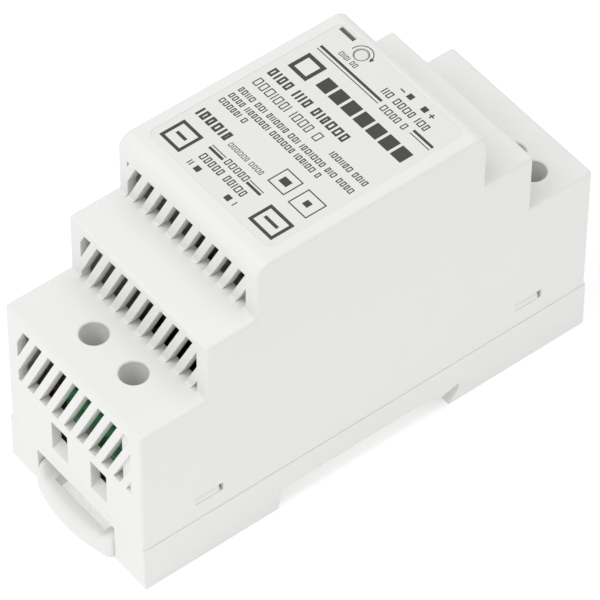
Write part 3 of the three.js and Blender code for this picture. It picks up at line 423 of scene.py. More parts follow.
far_vents = end_vents()
for vent in far_vents:
    vent.data.transform(Matrix.Rotation(math.pi, 4, "Z"))
AC_POLES, DC_POLES, TERMINAL_Y = {"line": 6.01, "neutral": -4.15}, {"plus": 11.54, "minus": 6.46}, 37.6
DRIVER_HOLES = ((AC_POLES, -1, 2.4), (DC_POLES, 1, 2.3))
ENTRY_HALF, ENTRY_TOP, SILL_OUTSIDE, SILL_INSIDE = 2.05, 15.7, 8.6, 11.0
SNAP_ROWS, SNAP_HALF, SNAP_LOW, SNAP_HIGH = (-32.05, 32.75), 2.65, 10.1, 11.8
TUBE_FOOT = 21.2
openings = []
for poles, side, bore in DRIVER_HOLES:
    for x in poles.values():
        openings.append(lathe("screw_access", [
            (0, LOW_STEP - WALL - 1), (bore, LOW_STEP - WALL - 1), (bore, LOW_STEP - 0.2),
            (bore + 0.2, LOW_STEP), (bore + 0.4, LOW_STEP + 0.2), (0, LOW_STEP + 0.2)], x, side * TERMINAL_Y))
        outside, inside = side * (HALF_HEIGHT + 1), side * (HALF_HEIGHT - WALL - 1)
        entry = [(outside, SILL_OUTSIDE), (inside, SILL_INSIDE), (inside, ENTRY_TOP), (outside, ENTRY_TOP)]
        openings.append(prism("wire_entry", entry, "X", x - ENTRY_HALF, x + ENTRY_HALF))
for row in SNAP_ROWS:
    for side in (-1, 1):
        ends = sorted((side * (HALF_WIDTH + 1), side * (HALF_WIDTH - WALL - 1)))
        openings.append(cuboid(
            "snap_window", (ends[0], row - SNAP_HALF, SNAP_LOW), (ends[1], row + SNAP_HALF, SNAP_HIGH)))
LABEL_Y, RECESS = 0.7, 0.25
label_outline = rounded(0, LABEL_Y, 30.4, 38.4, 1.5)
openings.append(prism("label_recess", label_outline, "Z", FRONT - RECESS, FRONT + 1))
LED, TRIMMER = (-12.7, 19.0), (-7.84, 17.84)


def led_slot(low, high):
    """A cutter for the light pipe's slot, between two heights."""
    return cuboid("led_slot", (LED[0] - 1.75, LED[1] - 0.43, low), (LED[0] + 1.75, LED[1] + 0.43, high))


def trimmer_hole(low, high):
    """A cutter for the round hole over the trimmer, between two heights."""
    return lathe("trimmer_hole", [(0, low), (1.2, low), (1.2, high), (0, high)], *TRIMMER)


openings += [led_slot(FRONT - 3, FRONT), trimmer_hole(FRONT - 3, FRONT)]
for poles, side, bore in DRIVER_HOLES:
    for x in poles.values():
        guide = [(bore - 0.02, TUBE_FOOT), (bore + 0.33, TUBE_FOOT), (bore + 0.35, LOW_STEP - 1),
                 (bore - 0.02, LOW_STEP - 1), (bore - 0.02, TUBE_FOOT)]
        join(cover, [lathe("screw_guide", guide, x, side * TERMINAL_Y, 44)])
cut(cover, end_vents() + far_vents + openings)
settle(cover, housing_white, "front_cover")

# ---- Rear base ----
# The tray that closes the cover, same white moulding: two feet either side of the rail slot, a fixed
# hook at the output end, the clip's channel at the mains end, four snap tabs with wedges.

FLOOR_TOP, SEAT = -1.25, 1.2
CHANNEL = (-10.5, 9.7)
LEDGE, DRAFT = 0.13, 0.004
base_outline = [
    (-HALF_HEIGHT, PARTING), (-HALF_HEIGHT, FEET), (-18.5, FEET), (-18, SEAT), (12.2, SEAT), (14.2, 0),
    (15.2, 0), (18.54, 0.9), (18.54, -0.25), (16.4, -2.93), (16.5, FEET), (HALF_HEIGHT, FEET),
    (HALF_HEIGHT, PARTING),
]
base = prism("rear_base", base_outline, "X", -HALF_WIDTH, HALF_WIDTH)
for vertex in base.data.vertices:
    drop = PARTING - vertex.co.z
    vertex.co.x += math.copysign(LEDGE + DRAFT * drop, vertex.co.x)


def base_edges(middle):
    """The share of rounding an edge gets: all at the ends and feet, half on the ledge and in the slot."""
    if middle.z > PARTING - 0.1:
        return 0.55 if abs(middle.x) > HALF_WIDTH - 0.1 else 0
    return 1 if abs(middle.y) > 44.9 or middle.z < -2.9 else 0.5


soften(base, 0.5, 4, base_edges)
inner = HALF_WIDTH - WALL
hollows = [
    cuboid("hollow", (-inner, -16.2, 3.0), (inner, 21.3, 8)),
    cuboid("hollow", (-inner, 20.34, FLOOR_TOP), (inner, 43.2, 8)),
    cuboid("hollow", (-inner, -43.2, FLOOR_TOP), (CHANNEL[0] - 2.2, -19.8, 8)),
    cuboid("hollow", (CHANNEL[1] + 2.2, -43.2, FLOOR_TOP), (inner, -19.8, 8)),
    cuboid("channel", (CHANNEL[0], -46, -4), (CHANNEL[1], -18, 4.7)),
    cuboid("tongue_slot", (CHANNEL[0] - 1, -43.2, -0.1), (CHANNEL[1] + 1, -20.3, 1.0)),
]
for hollow in hollows:
    cut(base, [hollow])
bosses = []
for side in (-1, 1):
    for y, foot, radius in ((0, 2.5, 2.1), (41, -1.75, 2.2)):
        profile = [(0, foot), (radius, foot), (2.0, PARTING), (0, PARTING)]
        bosses.append(lathe("boss", profile, side * 13.4, y, 32))
    bosses.append(cuboid("rail_pad", (side * 13.7 - 1.8, -16.5, 0), (side * 13.7 + 1.8, -12.9, 2)))
    for row in SNAP_ROWS:
        low, high = row - SNAP_HALF + 0.03, row + SNAP_HALF - 0.7
        root = inner - 0.1
        wedge = [
            (root - 1.1, FLOOR_TOP - 0.5), (root + 0.5, FLOOR_TOP - 0.5), (root + 0.5, PARTING - 0.1),
            (root, PARTING - 0.1), (root, SNAP_LOW + 0.03), (HALF_WIDTH - 0.04, SNAP_LOW + 0.03),
            (HALF_WIDTH - 0.04, SNAP_LOW + 0.9), (HALF_WIDTH - 0.3, SNAP_HIGH - 0.1),
            (root - 1.1, SNAP_HIGH - 0.1),
        ]
        bosses.append(prism("snap_tab", [(side * x, z) for x, z in wedge], "Y", low, high))
bosses.append(cuboid("spring_post", (-2.2, -33.9, -1.35), (1.4, -32.4, 5.5)))
for boss in bosses:
    join(base, [boss])
settle(base, housing_white, "rear_base")

# ---- Rail clip and its spring ----
# A separate slider in white acetal, a shade lighter than the housing. Its bowed bar is pulled away from
# the mains end with a screwdriver; the nose then clears the rail. A plain steel coil pushes it home.

clip_white = moulded_white("moulded_white_acetal", "F4F4F2")
CLIP_X, CLIP_HALF = -0.4, 9.9
left, right_side = CLIP_X - CLIP_HALF, CLIP_X + CLIP_HALF
CORNER, BAR_ROUND, ARM_TOP, BAR_TOP = 1.6, 1.25, 2.0, 0.3
chord, sag = CLIP_HALF - CORNER, 1.2
radius = (chord ** 2 + sag ** 2) / (2 * sag)
ridge = arc(left + CORNER, -44.7, CORNER, 2, 2.85, 8)
for i in range(1, 32):
    x = -chord + 2 * chord * i / 32
    ridge.append((CLIP_X + x, -46.3 + radius - sag - math.sqrt(radius ** 2 - x ** 2)))
ridge += arc(right_side - CORNER, -44.7, CORNER, 3.15, 4, 8)
vertices, faces = [], []
for x, y in ridge:
    ease = min(1, max(0, (abs(x - CLIP_X) - 6.9) / 1.9))
    top = BAR_TOP + (ARM_TOP - BAR_TOP) * ease * ease * (3 - 2 * ease)
    curve = arc(y + 0.35 + BAR_ROUND, top - BAR_ROUND, BAR_ROUND, 2, 1, 6)
    section = [(-41.5, -2.7), (y + 0.3, -2.7), (y + 0.08, -2.6), (y, -2.35), *curve, (-41.5, top)]
    vertices += [(x, a, z) for a, z in section]
size = len(section)
for i in range(len(ridge) - 1):
    here, there = i * size, (i + 1) * size
    faces += [(here + j, here + (j + 1) % size, there + (j + 1) % size, there + j) for j in range(size)]
faces += [tuple(range(size)), tuple(range(len(vertices) - size, len(vertices)))]
clip = mesh_piece("rail_clip", vertices, faces)
plate = prism("plate", [
    (-41.6, -2.7), (-18.8, -2.7), (-18.6, -2.5), (-18.6, SEAT), (-38.4, SEAT), (-38.8, ARM_TOP),
    (-41.6, ARM_TOP),
], "X", left + 0.02, right_side - 0.02)
pry = [(-6.9, -44.4), (6.1, -44.4), (6.8, -39.5), (-7.6, -39.5)]
pry_slot = prism("pry_slot", pry, "Z", -4, 3)
spring_slot = cuboid("spring_slot", (CLIP_X - 2.1, -34.0, -4), (CLIP_X + 2.1, -21.9, 3))
join(clip, [plate])
cut(clip, [pry_slot, spring_slot])
nose = prism("nose", [
    (-19.6, -1.1), (-19.6, -2.7), (-18.6, -2.7), (-15.4, -1.5), (-15.4, -1.1),
], "X", CLIP_X - 8.5, CLIP_X + 8.5)
soften(nose, 0.15, 2)
tongues = [
    cuboid("tongue", (left - 0.8, -39.3, 0.0), (left + 1, -20.7, 0.9)),
    cuboid("tongue", (right_side - 1, -39.3, 0.0), (right_side + 0.8, -20.7, 0.9)),
]
join(clip, [nose, *tongues])
settle(clip, clip_white, "rail_clip", "rail_clip")


def steel(name, code, roughness, grain, stretch=(1, 1, 1)):
    """Bare or plated metal: full reflection dulled by fine streaks of a given size in millimetres."""
    material, tree = new_material(name)
    place = add_node(tree, "ShaderNodeTexCoord").outputs["Object"]
    lines = add_node(tree, "ShaderNodeMapping", inputs={"Vector": place, "Scale": stretch})
    streak = add_node(tree, "ShaderNodeTexNoise", inputs={
        "Vector": lines.outputs["Vector"], "Scale": 1 / (grain * MM), "Detail": 3.0})
    sheen = add_node(tree, "ShaderNodeMapRange", inputs={
        "Value": streak.outputs["Fac"], "To Min": roughness * 0.7, "To Max": roughness * 1.4})
    bump = add_node(tree, "ShaderNodeBump", inputs={
        "Height": streak.outputs["Fac"], "Strength": 0.15, "Distance": 0.01 * MM})
    finish_surface(tree, {"Base Color": srgb(code), "Metallic": 1.0, "Roughness": sheen.outputs["Result"],
                          "Normal": bump.outputs["Normal"]})
    return material


spring_wire = steel("drawn_spring_steel_wire", "B9BDC1", 0.28, 0.08, (1, 0.1, 1))


def coil_tree():
    """Geometry nodes for a round-wire coil along Z: turns, radius, length and wire radius are inputs."""
    group = bpy.data.node_groups.new("wire_coil", "GeometryNodeTree")
    sockets = {}
    for name, kind in (("Turns", "NodeSocketFloat"), ("Radius", "NodeSocketFloat"),
                       ("Length", "NodeSocketFloat"), ("Wire", "NodeSocketFloat"),
                       ("Material", "NodeSocketMaterial")):
        sockets[name] = group.interface.new_socket(name, in_out="INPUT", socket_type=kind).identifier
    group.interface.new_socket("Coil", in_out="OUTPUT", socket_type="NodeSocketGeometry")
    given = add_node(group, "NodeGroupInput").outputs
    spiral = add_node(group, "GeometryNodeCurveSpiral", inputs={
        "Resolution": 40, "Rotations": given["Turns"], "Start Radius": given["Radius"],
        "End Radius": given["Radius"], "Height": given["Length"]})
    section = add_node(group, "GeometryNodeCurvePrimitiveCircle", inputs={
        "Resolution": 12, "Radius": given["Wire"]})
    wire = add_node(group, "GeometryNodeCurveToMesh", inputs={
        "Curve": spiral.outputs["Curve"], "Profile Curve": section.outputs["Curve"], "Fill Caps": True})
    whole = add_node(group, "GeometryNodeRealizeInstances", inputs={"Geometry": wire.outputs["Mesh"]})
    painted = add_node(group, "GeometryNodeSetMaterial", inputs={
        "Geometry": whole.outputs["Geometry"], "Material": given["Material"]})
    add_node(group, "NodeGroupOutput", inputs={"Coil": painted.outputs["Geometry"]})
    return group, sockets


wire_coil, coil_inputs = coil_tree()


def coil(name, turns, radius, length, wire, material, place):
    """One coil from the node tree, as plain mesh, moved into place by a matrix."""
    made = bpy.data.objects.new(name, bpy.data.meshes.new(name))
    bpy.context.scene.collection.objects.link(made)
    modifier = made.modifiers.new("coil", "NODES")
    modifier.node_group = wire_coil
    values = {"Turns": turns, "Radius": radius, "Length": length, "Wire": wire}
    for key, value in values.items():
        modifier[coil_inputs[key]] = float(value)
    modifier[coil_inputs["Material"]] = material
    bake(made)
    made.data.transform(place)
    return made


spring_place = Matrix.Translation((CLIP_X, -32.05, 0)) @ Matrix.Rotation(-math.pi / 2, 4, "X")
spring = coil("rail_clip_spring", 6, 1.55, 9.7, 0.25, spring_wire, spring_place)
settle(spring, spring_wire, "rail_clip_spring", None)
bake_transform(spring)

# ---- Front label ----
# A matt white polyester film set in a shallow recess, screen printed in dark grey. It carries no words:
# rows of hollow blocks stand where a maker would print ratings, with plain rules and pole signs.


def matt_film(name, code, roughness):
    """Printed or plain polyester film: flat colour, soft even sheen, faint waviness of 3 mm."""
    material, tree = new_material(name)
    place = add_node(tree, "ShaderNodeTexCoord").outputs["Object"]
    wave = add_node(tree, "ShaderNodeTexNoise", inputs={
        "Vector": place, "Scale": 1 / (3 * MM), "Detail": 1.0})
    bump = add_node(tree, "ShaderNodeBump", inputs={
        "Height": wave.outputs["Fac"], "Strength": 0.05, "Distance": 0.02 * MM})
    finish_surface(tree, {
        "Base Color": srgb(code), "Roughness": roughness, "Normal": bump.outputs["Normal"]})
    return material


film_white = matt_film("matt_polyester_film", "EDEDEB", 0.5)
ink_grey = matt_film("screen_printing_ink", "454543", 0.6)
FILM_TOP = FRONT - 0.05

label = prism("front_label", rounded(0, LABEL_Y, 30.396, 38.396, 1.498), "Z", FRONT - RECESS, FILM_TOP)
cut(label, [led_slot(FRONT - 1, FRONT + 1), trimmer_hole(FRONT - 1, FRONT + 1)])
settle(label, film_white, "front_label")

INK_TOP = FILM_TOP + 0.012
ink = []


def merged(name, pieces):
    """Several separate closed bodies as one object."""
    work = bmesh.new()
    for piece in pieces:
        work.from_mesh(piece.data)
    mesh = bpy.data.meshes.new(name)
    work.to_mesh(mesh)
    work.free()
    for piece in pieces:
        remove(piece)
    made = bpy.data.objects.new(name, mesh)
    bpy.context.scene.collection.objects.link(made)
    return made


def bar(x0, x1, y, thick):
    """A filled printed bar."""
    ink.append(cuboid("bar", (x0, y - thick / 2, FILM_TOP), (x1, y + thick / 2, INK_TOP)))


def ring(x, y, radius, line, start=0, end=4, steps=40):
    """A printed circle or arc."""
    if end - start < 4:
        outline = (arc(x, y, radius + line / 2, start, end, steps)
                   + arc(x, y, radius - line / 2, end, start, steps))
        ink.append(prism("ring", outline, "Z", FILM_TOP, INK_TOP))
        return
    outer = prism("ring", arc(x, y, radius + line / 2, 0, 4, steps)[:-1], "Z", FILM_TOP, INK_TOP)
    hole = arc(x, y, radius - line / 2, 0, 4, steps)[:-1]
    inner_disc = prism("inside", hole, "Z", FILM_TOP - 1, INK_TOP + 1)
    ink.append(cut(outer, [inner_disc]))


def frame_box(x0, y0, x1, y1, line):
    """An empty printed rectangle."""
    vertices, faces = [], []
    for z in (FILM_TOP, INK_TOP):
        for inset in (0, line):
            left_x, low_y, right_x, high_y = x0 + inset, y0 + inset, x1 - inset, y1 - inset
            vertices += [
                (left_x, low_y, z), (right_x, low_y, z), (right_x, high_y, z), (left_x, high_y, z)]
    for i in range(4):
        j = (i + 1) % 4
        faces += [(i, j, 4 + j, 4 + i), (8 + i, 8 + j, 12 + j, 12 + i), (i, j, 8 + j, 8 + i),
                  (4 + i, 4 + j, 12 + j, 12 + i)]
    ink.append(mesh_piece("frame", vertices, faces))


def blocks(x0, x1, y, height, line, seed):
    """A row of letter-sized hollow blocks and strokes in word groups, the stand-in for printed text."""
    pick = random.Random(seed)
    x, in_word = x0, pick.randint(3, 8)
    while x < x1 - height * 0.5:
        wide = height * pick.choice((0.0, 0.5, 0.58, 0.58, 0.66))
        if wide < 2 * line:
            ink.append(cuboid(
                "stroke", (x, y - height / 2, FILM_TOP), (x + line, y + height / 2, INK_TOP)))
            wide = line
        else:
            frame_box(x, y - height / 2, x + wide, y + height / 2, line)
        in_word -= 1
        x += wide + height * (0.22 if in_word else 0.65)
        in_word = in_word or pick.randint(3, 8)


def squares(y, *places):
    """A row of filled contact squares."""
    for x in places:
        bar(x - 0.55, x + 0.55, y, 1.1)


ring(*TRIMMER, 1.3, 0.13)
ring(*TRIMMER, 1.95, 0.17, 0.25, 2.1, 24)
head = [(1.45, 0.75), (2.25, 0.75), (1.95, -0.1)]
head = [(TRIMMER[0] + x, TRIMMER[1] + y) for x, y in head]
ink.append(prism("arrow_head", head, "Z", FILM_TOP, INK_TOP))
blocks(-10.3, -5.9, 15.6, 0.95, 0.14, 1)
bar(1.55, 2.6, 18.1, 0.25)
squares(18.2, 3.85, 7.3)
bar(8.55, 9.6, 18.15, 0.25)
join(ink[-1], [cuboid("plus", (8.95, 17.62, FILM_TOP - 0.001), (9.2, 18.68, INK_TOP + 0.001))])
blocks(0.1, 11.3, 15.9, 1.45, 0.22, 2)
blocks(2.7, 9.2, 13.45, 1.35, 0.2, 3)
for x0, x1 in ((-13.3, 1.8), (9.6, 14.3)):
    bar(x0, x1, 14.1, 0.5)
    bar(x0, x1, 13.35, 0.17)
frame_box(-13.2, 7.4, -8.8, 11.8, 0.75)
for i in range(7):
    bar(-7.2 + 3.05 * i, -4.7 + 3.05 * i, 9.5, 2.7)
blocks(-13.9, 5.6, 4.75, 1.85, 0.4, 4)
blocks(-13.7, 2.4, 1.65, 1.8, 0.2, 5)
blocks(5.5, 14.4, 1.25, 1.15, 0.2, 6)
blocks(-13.8, 14.3, -1.4, 1.15, 0.2, 7)
blocks(-13.8, 8.7, -3.3, 1.15, 0.2, 8)
blocks(-13.9, -7.5, -5.1, 1.15, 0.2, 9)
blocks(-14.0, -6.5, -9.2, 1.9, 0.45, 10)
blocks(-5.6, 3.4, -9.8, 0.95, 0.13, 11)
frame_box(3.9, -10.0, 7.9, -6.0, 0.22)
bar(5.0, 6.8, -8.0, 1.4)
frame_box(9.3, -10.3, 13.7, -6.1, 0.22)
bar(10.9, 12.1, -8.2, 1.2)
frame_box(-13.9, -17.1, -9.0, -12.2, 0.6)
bar(-12.6, -10.3, -14.65, 0.6)
frame_box(8.2, -17.1, 13.9, -12.5, 0.6)
bar(9.5, 12.6, -14.8, 0.6)
blocks(-3.1, 2.1, -12.35, 1.35, 0.2, 12)
for x0, x1 in ((-7.0, -3.6), (2.3, 5.7)):
    bar(x0, x1, -12.7, 0.5)
    bar(x0, x1, -12.05, 0.17)
blocks(-6.4, 4.9, -14.6, 1.45, 0.22, 13)
squares(-16.9, -4.5, 3.1)
for x in (-6.6, -6.1, 4.6):
    ink.append(cuboid("pole_tick", (x, -17.45, FILM_TOP), (x + 0.2, -16.35, INK_TOP)))
label_print = merged("label_print", ink)
label_print.data.transform(Matrix.Scale(MM, 4))
label_print.data.materials.clear()
label_print.data.materials.append(ink_grey)
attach(label_print, "housing")

# ---- Indicator and trimmer ----
# A tinted 3 mm lamp on the control board shines through a smoked light pipe in the label's slot. The
# trimmer's white rotor shows in a round hole, with a fine screwdriver slot.


def clear_plastic(name, code, roughness, clearness):
    """Tinted transparent moulding: part of the light passes, with a glossy skin."""
    material, tree = new_material(name)
    place = add_node(tree, "ShaderNodeTexCoord").outputs["Object"]
    haze = add_node(tree, "ShaderNodeTexNoise", inputs={
        "Vector": place, "Scale": 1 / (0.8 * MM), "Detail": 2.0})
    sheen = add_node(tree, "ShaderNodeMapRange", inputs={
        "Value": haze.outputs["Fac"], "To Min": roughness * 0.7, "To Max": roughness * 1.4})
    finish_surface(tree, {
        "Base Color": srgb(code), "Roughness": sheen.outputs["Result"],
        "Transmission Weight": clearness, "IOR": 1.49})
    return material


smoked = clear_plastic("smoked_polycarbonate", "6A6764", 0.2, 0.15)
lamp_green = clear_plastic("tinted_epoxy_lens", "86BE86", 0.1, 0.5)
low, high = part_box("light_pipe")
pipe = cuboid(
    "light_pipe", (LED[0] - 1.65, LED[1] - 0.33, low.z / MM), (LED[0] + 1.65, LED[1] + 0.33, high.z / MM))
soften(pipe, 0.08, 2)
join(pipe, [cuboid("flange", tuple(low / MM), (high.x / MM, high.y / MM, low.z / MM + 1.7))])
settle(pipe, smoked, "light_pipe")

low, high = (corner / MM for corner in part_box("indicator_led"))
lamp_y = high.y - 1.5
dome = [(1.35 * math.cos(a * math.pi / 16), high.z - 1.35 + 1.35 * math.sin(a * math.pi / 16))
        for a in range(8)]
lamp = lathe("indicator_led", [
    (0, high.z - 4.4), (1.5, high.z - 4.4), (1.5, high.z - 3.8), (1.35, high.z - 3.7),
    *dome, (0, high.z)], LED[0], lamp_y)
for side in (-1, 1):
    leg_x = LED[0] + side * 0.75
    join(lamp, [
        cuboid("leg", (leg_x - 0.25, lamp_y - 0.25, low.z), (leg_x + 0.25, lamp_y + 0.25, high.z - 4)),
        cuboid("leg", (leg_x - 0.25, low.y, low.z), (leg_x + 0.25, lamp_y, low.z + 0.5)),
    ])
settle(lamp, lamp_green, "indicator_led")


def moulded(name, code, roughness, grain=0.1):
    """Plain coloured moulding: even colour, low sheen, fine grain."""
    material, tree = new_material(name)
    place = add_node(tree, "ShaderNodeTexCoord").outputs["Object"]
    speck = add_node(tree, "ShaderNodeTexNoise", inputs={
        "Vector": place, "Scale": 1 / (grain * MM), "Detail": 2.0, "Roughness": 0.55})
    shade_of = add_node(tree, "ShaderNodeMix", {"data_type": "RGBA"}, {
        0: speck.outputs["Fac"], 6: srgb(code), 7: tuple(c * 0.9 for c in srgb(code)[:3]) + (1,)})
    bump = add_node(tree, "ShaderNodeBump", inputs={
        "Height": speck.outputs["Fac"], "Strength": 0.1, "Distance": 0.02 * MM})
    finish_surface(tree, {
        "Base Color": shade_of.outputs[2], "Roughness": roughness, "Normal": bump.outputs["Normal"]})
    return material


rotor_white = moulded("moulded_white_polyamide", "F0F0EE", 0.5)
trimmer_blue = moulded("moulded_blue_polyester", "2F6FB5", 0.4)
low, high = (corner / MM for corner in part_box("voltage_trimmer_rotor"))
body_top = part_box("voltage_trimmer_body")[1].z / MM
rotor = lathe("rotor", [
    (0, low.z), (1.0, low.z), (1.0, body_top + 0.3), (1.1, body_top + 0.35), (1.1, high.z - 0.12),
    (0.98, high.z), (0, high.z)], *TRIMMER)
cut(rotor, [cuboid(
    "slot", (TRIMMER[0] - 1.3, TRIMMER[1] - 0.16, high.z - 0.12),
    (TRIMMER[0] + 1.3, TRIMMER[1] + 0.16, high.z + 1))])
settle(rotor, rotor_white, "voltage_trimmer_rotor", "voltage_trimmer")

low, high = (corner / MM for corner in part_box("voltage_trimmer_body"))
trimmer = cuboid("trimmer", tuple(low), tuple(high))
soften(trimmer, 0.25, 3)
socket = [(0, high.z - 2), (1.1, high.z - 2), (1.1, high.z + 1), (0, high.z + 1)]
cut(trimmer, [lathe("socket", socket, *TRIMMER)])
settle(trimmer, trimmer_blue, "voltage_trimmer_body")

# ---- Screw terminals ----
# Green polyamide blocks on the main board, one for the mains and one for the output. In each pole a
# zinc-plated cage rises round a tinned contact when its combination-head screw is tightened.

terminal_green = moulded("moulded_green_polyamide", "3F9C60", 0.42)
zinc = steel("zinc_plated_steel", "C6C9CC", 0.3, 0.25)
tinned = steel("tinned_brass", "D2CEC0", 0.26, 0.15)
BOARD_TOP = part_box("main_board")[1].z / MM
THREAD_PITCH = 0.45


def softened_copy(node, width, segments=2):
    """A CAD node's shape as one merged mesh with eased edges, for plain inner pieces."""
    work = bmesh.new()
    work.from_mesh(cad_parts[node].data)
    bmesh.ops.scale(work, verts=work.verts, vec=(1 / MM,) * 3)
    bmesh.ops.remove_doubles(work, verts=work.verts, dist=1e-3)
    bmesh.ops.dissolve_limit(work, angle_limit=math.radians(1), verts=work.verts, edges=work.edges)
    mesh = bpy.data.meshes.new(node)
    work.to_mesh(mesh)
    work.free()
    made = bpy.data.objects.new(node, mesh)
    bpy.context.scene.collection.objects.link(made)
    return soften(made, width, segments) if width else made


def terminal_block(prefix, poles, side):
    """One block with, in each pole, its rising cage, its screw and its contact."""
    node = prefix + "_terminal_housing"
    low, high = (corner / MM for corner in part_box(node))
    front, back = (high.y, low.y) if side > 0 else (low.y, high.y)
    y = (front + back) / 2
    outline = [
        (back, low.z), (front, low.z), (front, high.z - 1.2), (front - side * 1.2, high.z), (back, high.z)]
    block = prism(node, outline, "X", low.x, high.x)
    soften(block, 0.3, 3)
    for x in poles.values():
        pocket_top = high.z - 2.0
        rear = back + side * 0.3
        mouth = [
            cuboid("pocket", (x - 2.05, y - 2.2, BOARD_TOP + 0.3), (x + 2.05, y + 2.2, pocket_top)),
            lathe("driver_hole", [
                (0, pocket_top - 0.1), (2.1, pocket_top - 0.1), (2.1, high.z - 0.3), (2.3, high.z + 0.1),
                (0, high.z + 0.1)], x, y),
            cuboid("mouth", (x - 1.9, min(y, front + side), 9.8), (x + 1.9, max(y, front + side), 15.2)),
            cuboid("contact_way", (x - 1.3, min(y, rear), 9.0), (x + 1.3, max(y, rear), 14.0)),
        ]
        cut(block, mouth)
    settle(block, terminal_green, node)
    for pole, x in poles.items():
        clamp_node, screw_node, contact_node = (
            f"{prefix}_clamp_{pole}", f"{prefix}_screw_{pole}", f"{prefix}_contact_{pole}")
        low, high = (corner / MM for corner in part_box(clamp_node))
        cage = cuboid(clamp_node, tuple(low), tuple(high))
        soften(cage, 0.45, 4, lambda m: abs(m.x - x) > 1.8)
        cut(cage, [
            cuboid("window", (x - 1.35, low.y - 1, low.z + 0.8), (x + 1.35, high.y + 1, high.z - 1.5)),
            lathe("thread", [(0, high.z - 3), (1.35, high.z - 3), (1.35, high.z + 1), (0, high.z + 1)], x, y),
        ])
        settle(cage, zinc, clamp_node, clamp_node)
        low, high = (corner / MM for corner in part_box(screw_node))
        profile = [(0, low.z), (0.8, low.z)]
        turn_z = low.z + 0.3
        while turn_z < high.z - 2.0:
            profile += [(1.02, turn_z), (1.24, turn_z + 0.22)]
            turn_z += THREAD_PITCH
        profile += [(1.0, high.z - 1.5), (1.0, high.z - 1.4), (1.75, high.z - 1.4), (1.9, high.z - 1.25),
                    (1.9, high.z - 0.3), (1.6, high.z), (0, high.z)]
        screw = lathe(screw_node, profile, x, y)
        cut(screw, [
            cuboid("slot", (x - 2.5, y - 0.3, high.z - 0.7), (x + 2.5, y + 0.3, high.z + 1)),
            cuboid("cross", (x - 0.25, y - 1.1, high.z - 0.8), (x + 0.25, y + 1.1, high.z + 1)),
        ])
        settle(screw, zinc, screw_node, screw_node)
        contact = softened_copy(contact_node, 0.12)
        settle(contact, tinned, contact_node)


terminal_block("ac", AC_POLES, -1)
terminal_block("dc", DC_POLES, 1)

# ---- Circuit boards ----
# Green solder-masked glass epoxy with copper tracks just visible under the mask, over a clear
# insulation sheet; the control board stands across the output half.


def circuit_board(name, code, track):
    """FR4 under green mask: glossy skin over slightly raised, lighter tracks in rows 1.4 mm apart."""
    material, tree = new_material(name)
    place = add_node(tree, "ShaderNodeTexCoord").outputs["Object"]
    cells = add_node(tree, "ShaderNodeTexBrick", {"offset": 0.35, "offset_frequency": 3}, {
        "Vector": place, "Scale": 1 / (track * MM), "Mortar Size": 0.05,
        "Brick Width": 3.1, "Row Height": 0.9})
    tone = add_node(tree, "ShaderNodeMix", {"data_type": "RGBA"}, {
        0: cells.outputs["Fac"], 6: srgb("3A7D4C"), 7: srgb(code)})
    bump = add_node(tree, "ShaderNodeBump", inputs={
        "Height": cells.outputs["Fac"], "Strength": 0.3, "Distance": 0.03 * MM})
    finish_surface(tree, {"Base Color": tone.outputs[2], "Roughness": 0.28, "Normal": bump.outputs["Normal"]})
    return material


green_board = circuit_board("solder_masked_fr4", "2A6238", 1.6)
sheet_film = clear_plastic("polyester_sheet", "E8E4D0", 0.3, 0.3)
settle(softened_copy("main_board", 0.12), green_board, "main_board")
settle(softened_copy("control_board", 0.12), green_board, "control_board")
settle(softened_copy("insulation_sheet", 0), sheet_film, "insulation_sheet")

solder = steel("tin_solder", "C9CBCC", 0.22, 0.3)
PIN_Y = 34.3
fillets = []
for node in ("ac_contact_line", "ac_contact_neutral", "dc_contact_plus", "dc_contact_minus"):
    low, high = (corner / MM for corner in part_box(node))
    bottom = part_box("main_board")[0].z / MM
    pin_y = -PIN_Y if low.y < 0 else PIN_Y
    fillets.append(lathe("fillet", [
        (0, bottom - 0.24), (1.0, bottom - 0.24), (1.25, bottom), (0, bottom)],
        (low.x + high.x) / 2, pin_y, 20))
joints_under = merged("solder_fillets", fillets)
joints_under.data.transform(Matrix.Scale(MM, 4))
joints_under.data.materials.append(solder)
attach(joints_under, "housing")

# ---- Wound parts ----
# Common-mode choke and transformer: two sintered ferrite E halves, a black bobbin between them and a
# winding, enamelled turns on the choke and yellow tape over the transformer. The output choke is a
# ferrite drum with one layer of enamelled wire.

ferrite = moulded("sintered_ferrite", "3A3A3E", 0.6, 0.2)
black_resin = moulded("moulded_black_epoxy", "202022", 0.45)
enamelled = steel("enamelled_copper_wire", "B4672B", 0.3, 0.2)
tape = moulded("yellow_polyester_tape", "E4C648", 0.35, 0.4)


def turns_block(node, radius, pitch, relief):
    """A winding of stacked turns: rounded rectangular rings whose outline swells at every turn."""
    low, high = (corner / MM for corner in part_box(node))
    x, y = (low.x + high.x) / 2, (low.y + high.y) / 2
    width, depth = high.x - low.x, high.y - low.y
    count = max(2, round((high.z - low.z) / pitch))
    rings, vertices = [], []
    for i in range(2 * count + 1):
        inset = relief if i % 2 == 0 else 0
        z = low.z + (high.z - low.z) * i / (2 * count)
        outline = rounded(x, y, width - 2 * inset, depth - 2 * inset, radius - inset, 4)
        rings.append(range(len(vertices), len(vertices) + len(outline)))
        vertices += [(a, b, z) for a, b in outline]
    size = len(rings[0])
    faces = [tuple(rings[0]), tuple(reversed(rings[-1]))]
    for lower, upper in zip(rings, rings[1:]):
        faces += [(lower[i], lower[(i + 1) % size], upper[(i + 1) % size], upper[i])
                  for i in range(size)]
    return mesh_piece(node, vertices, faces)


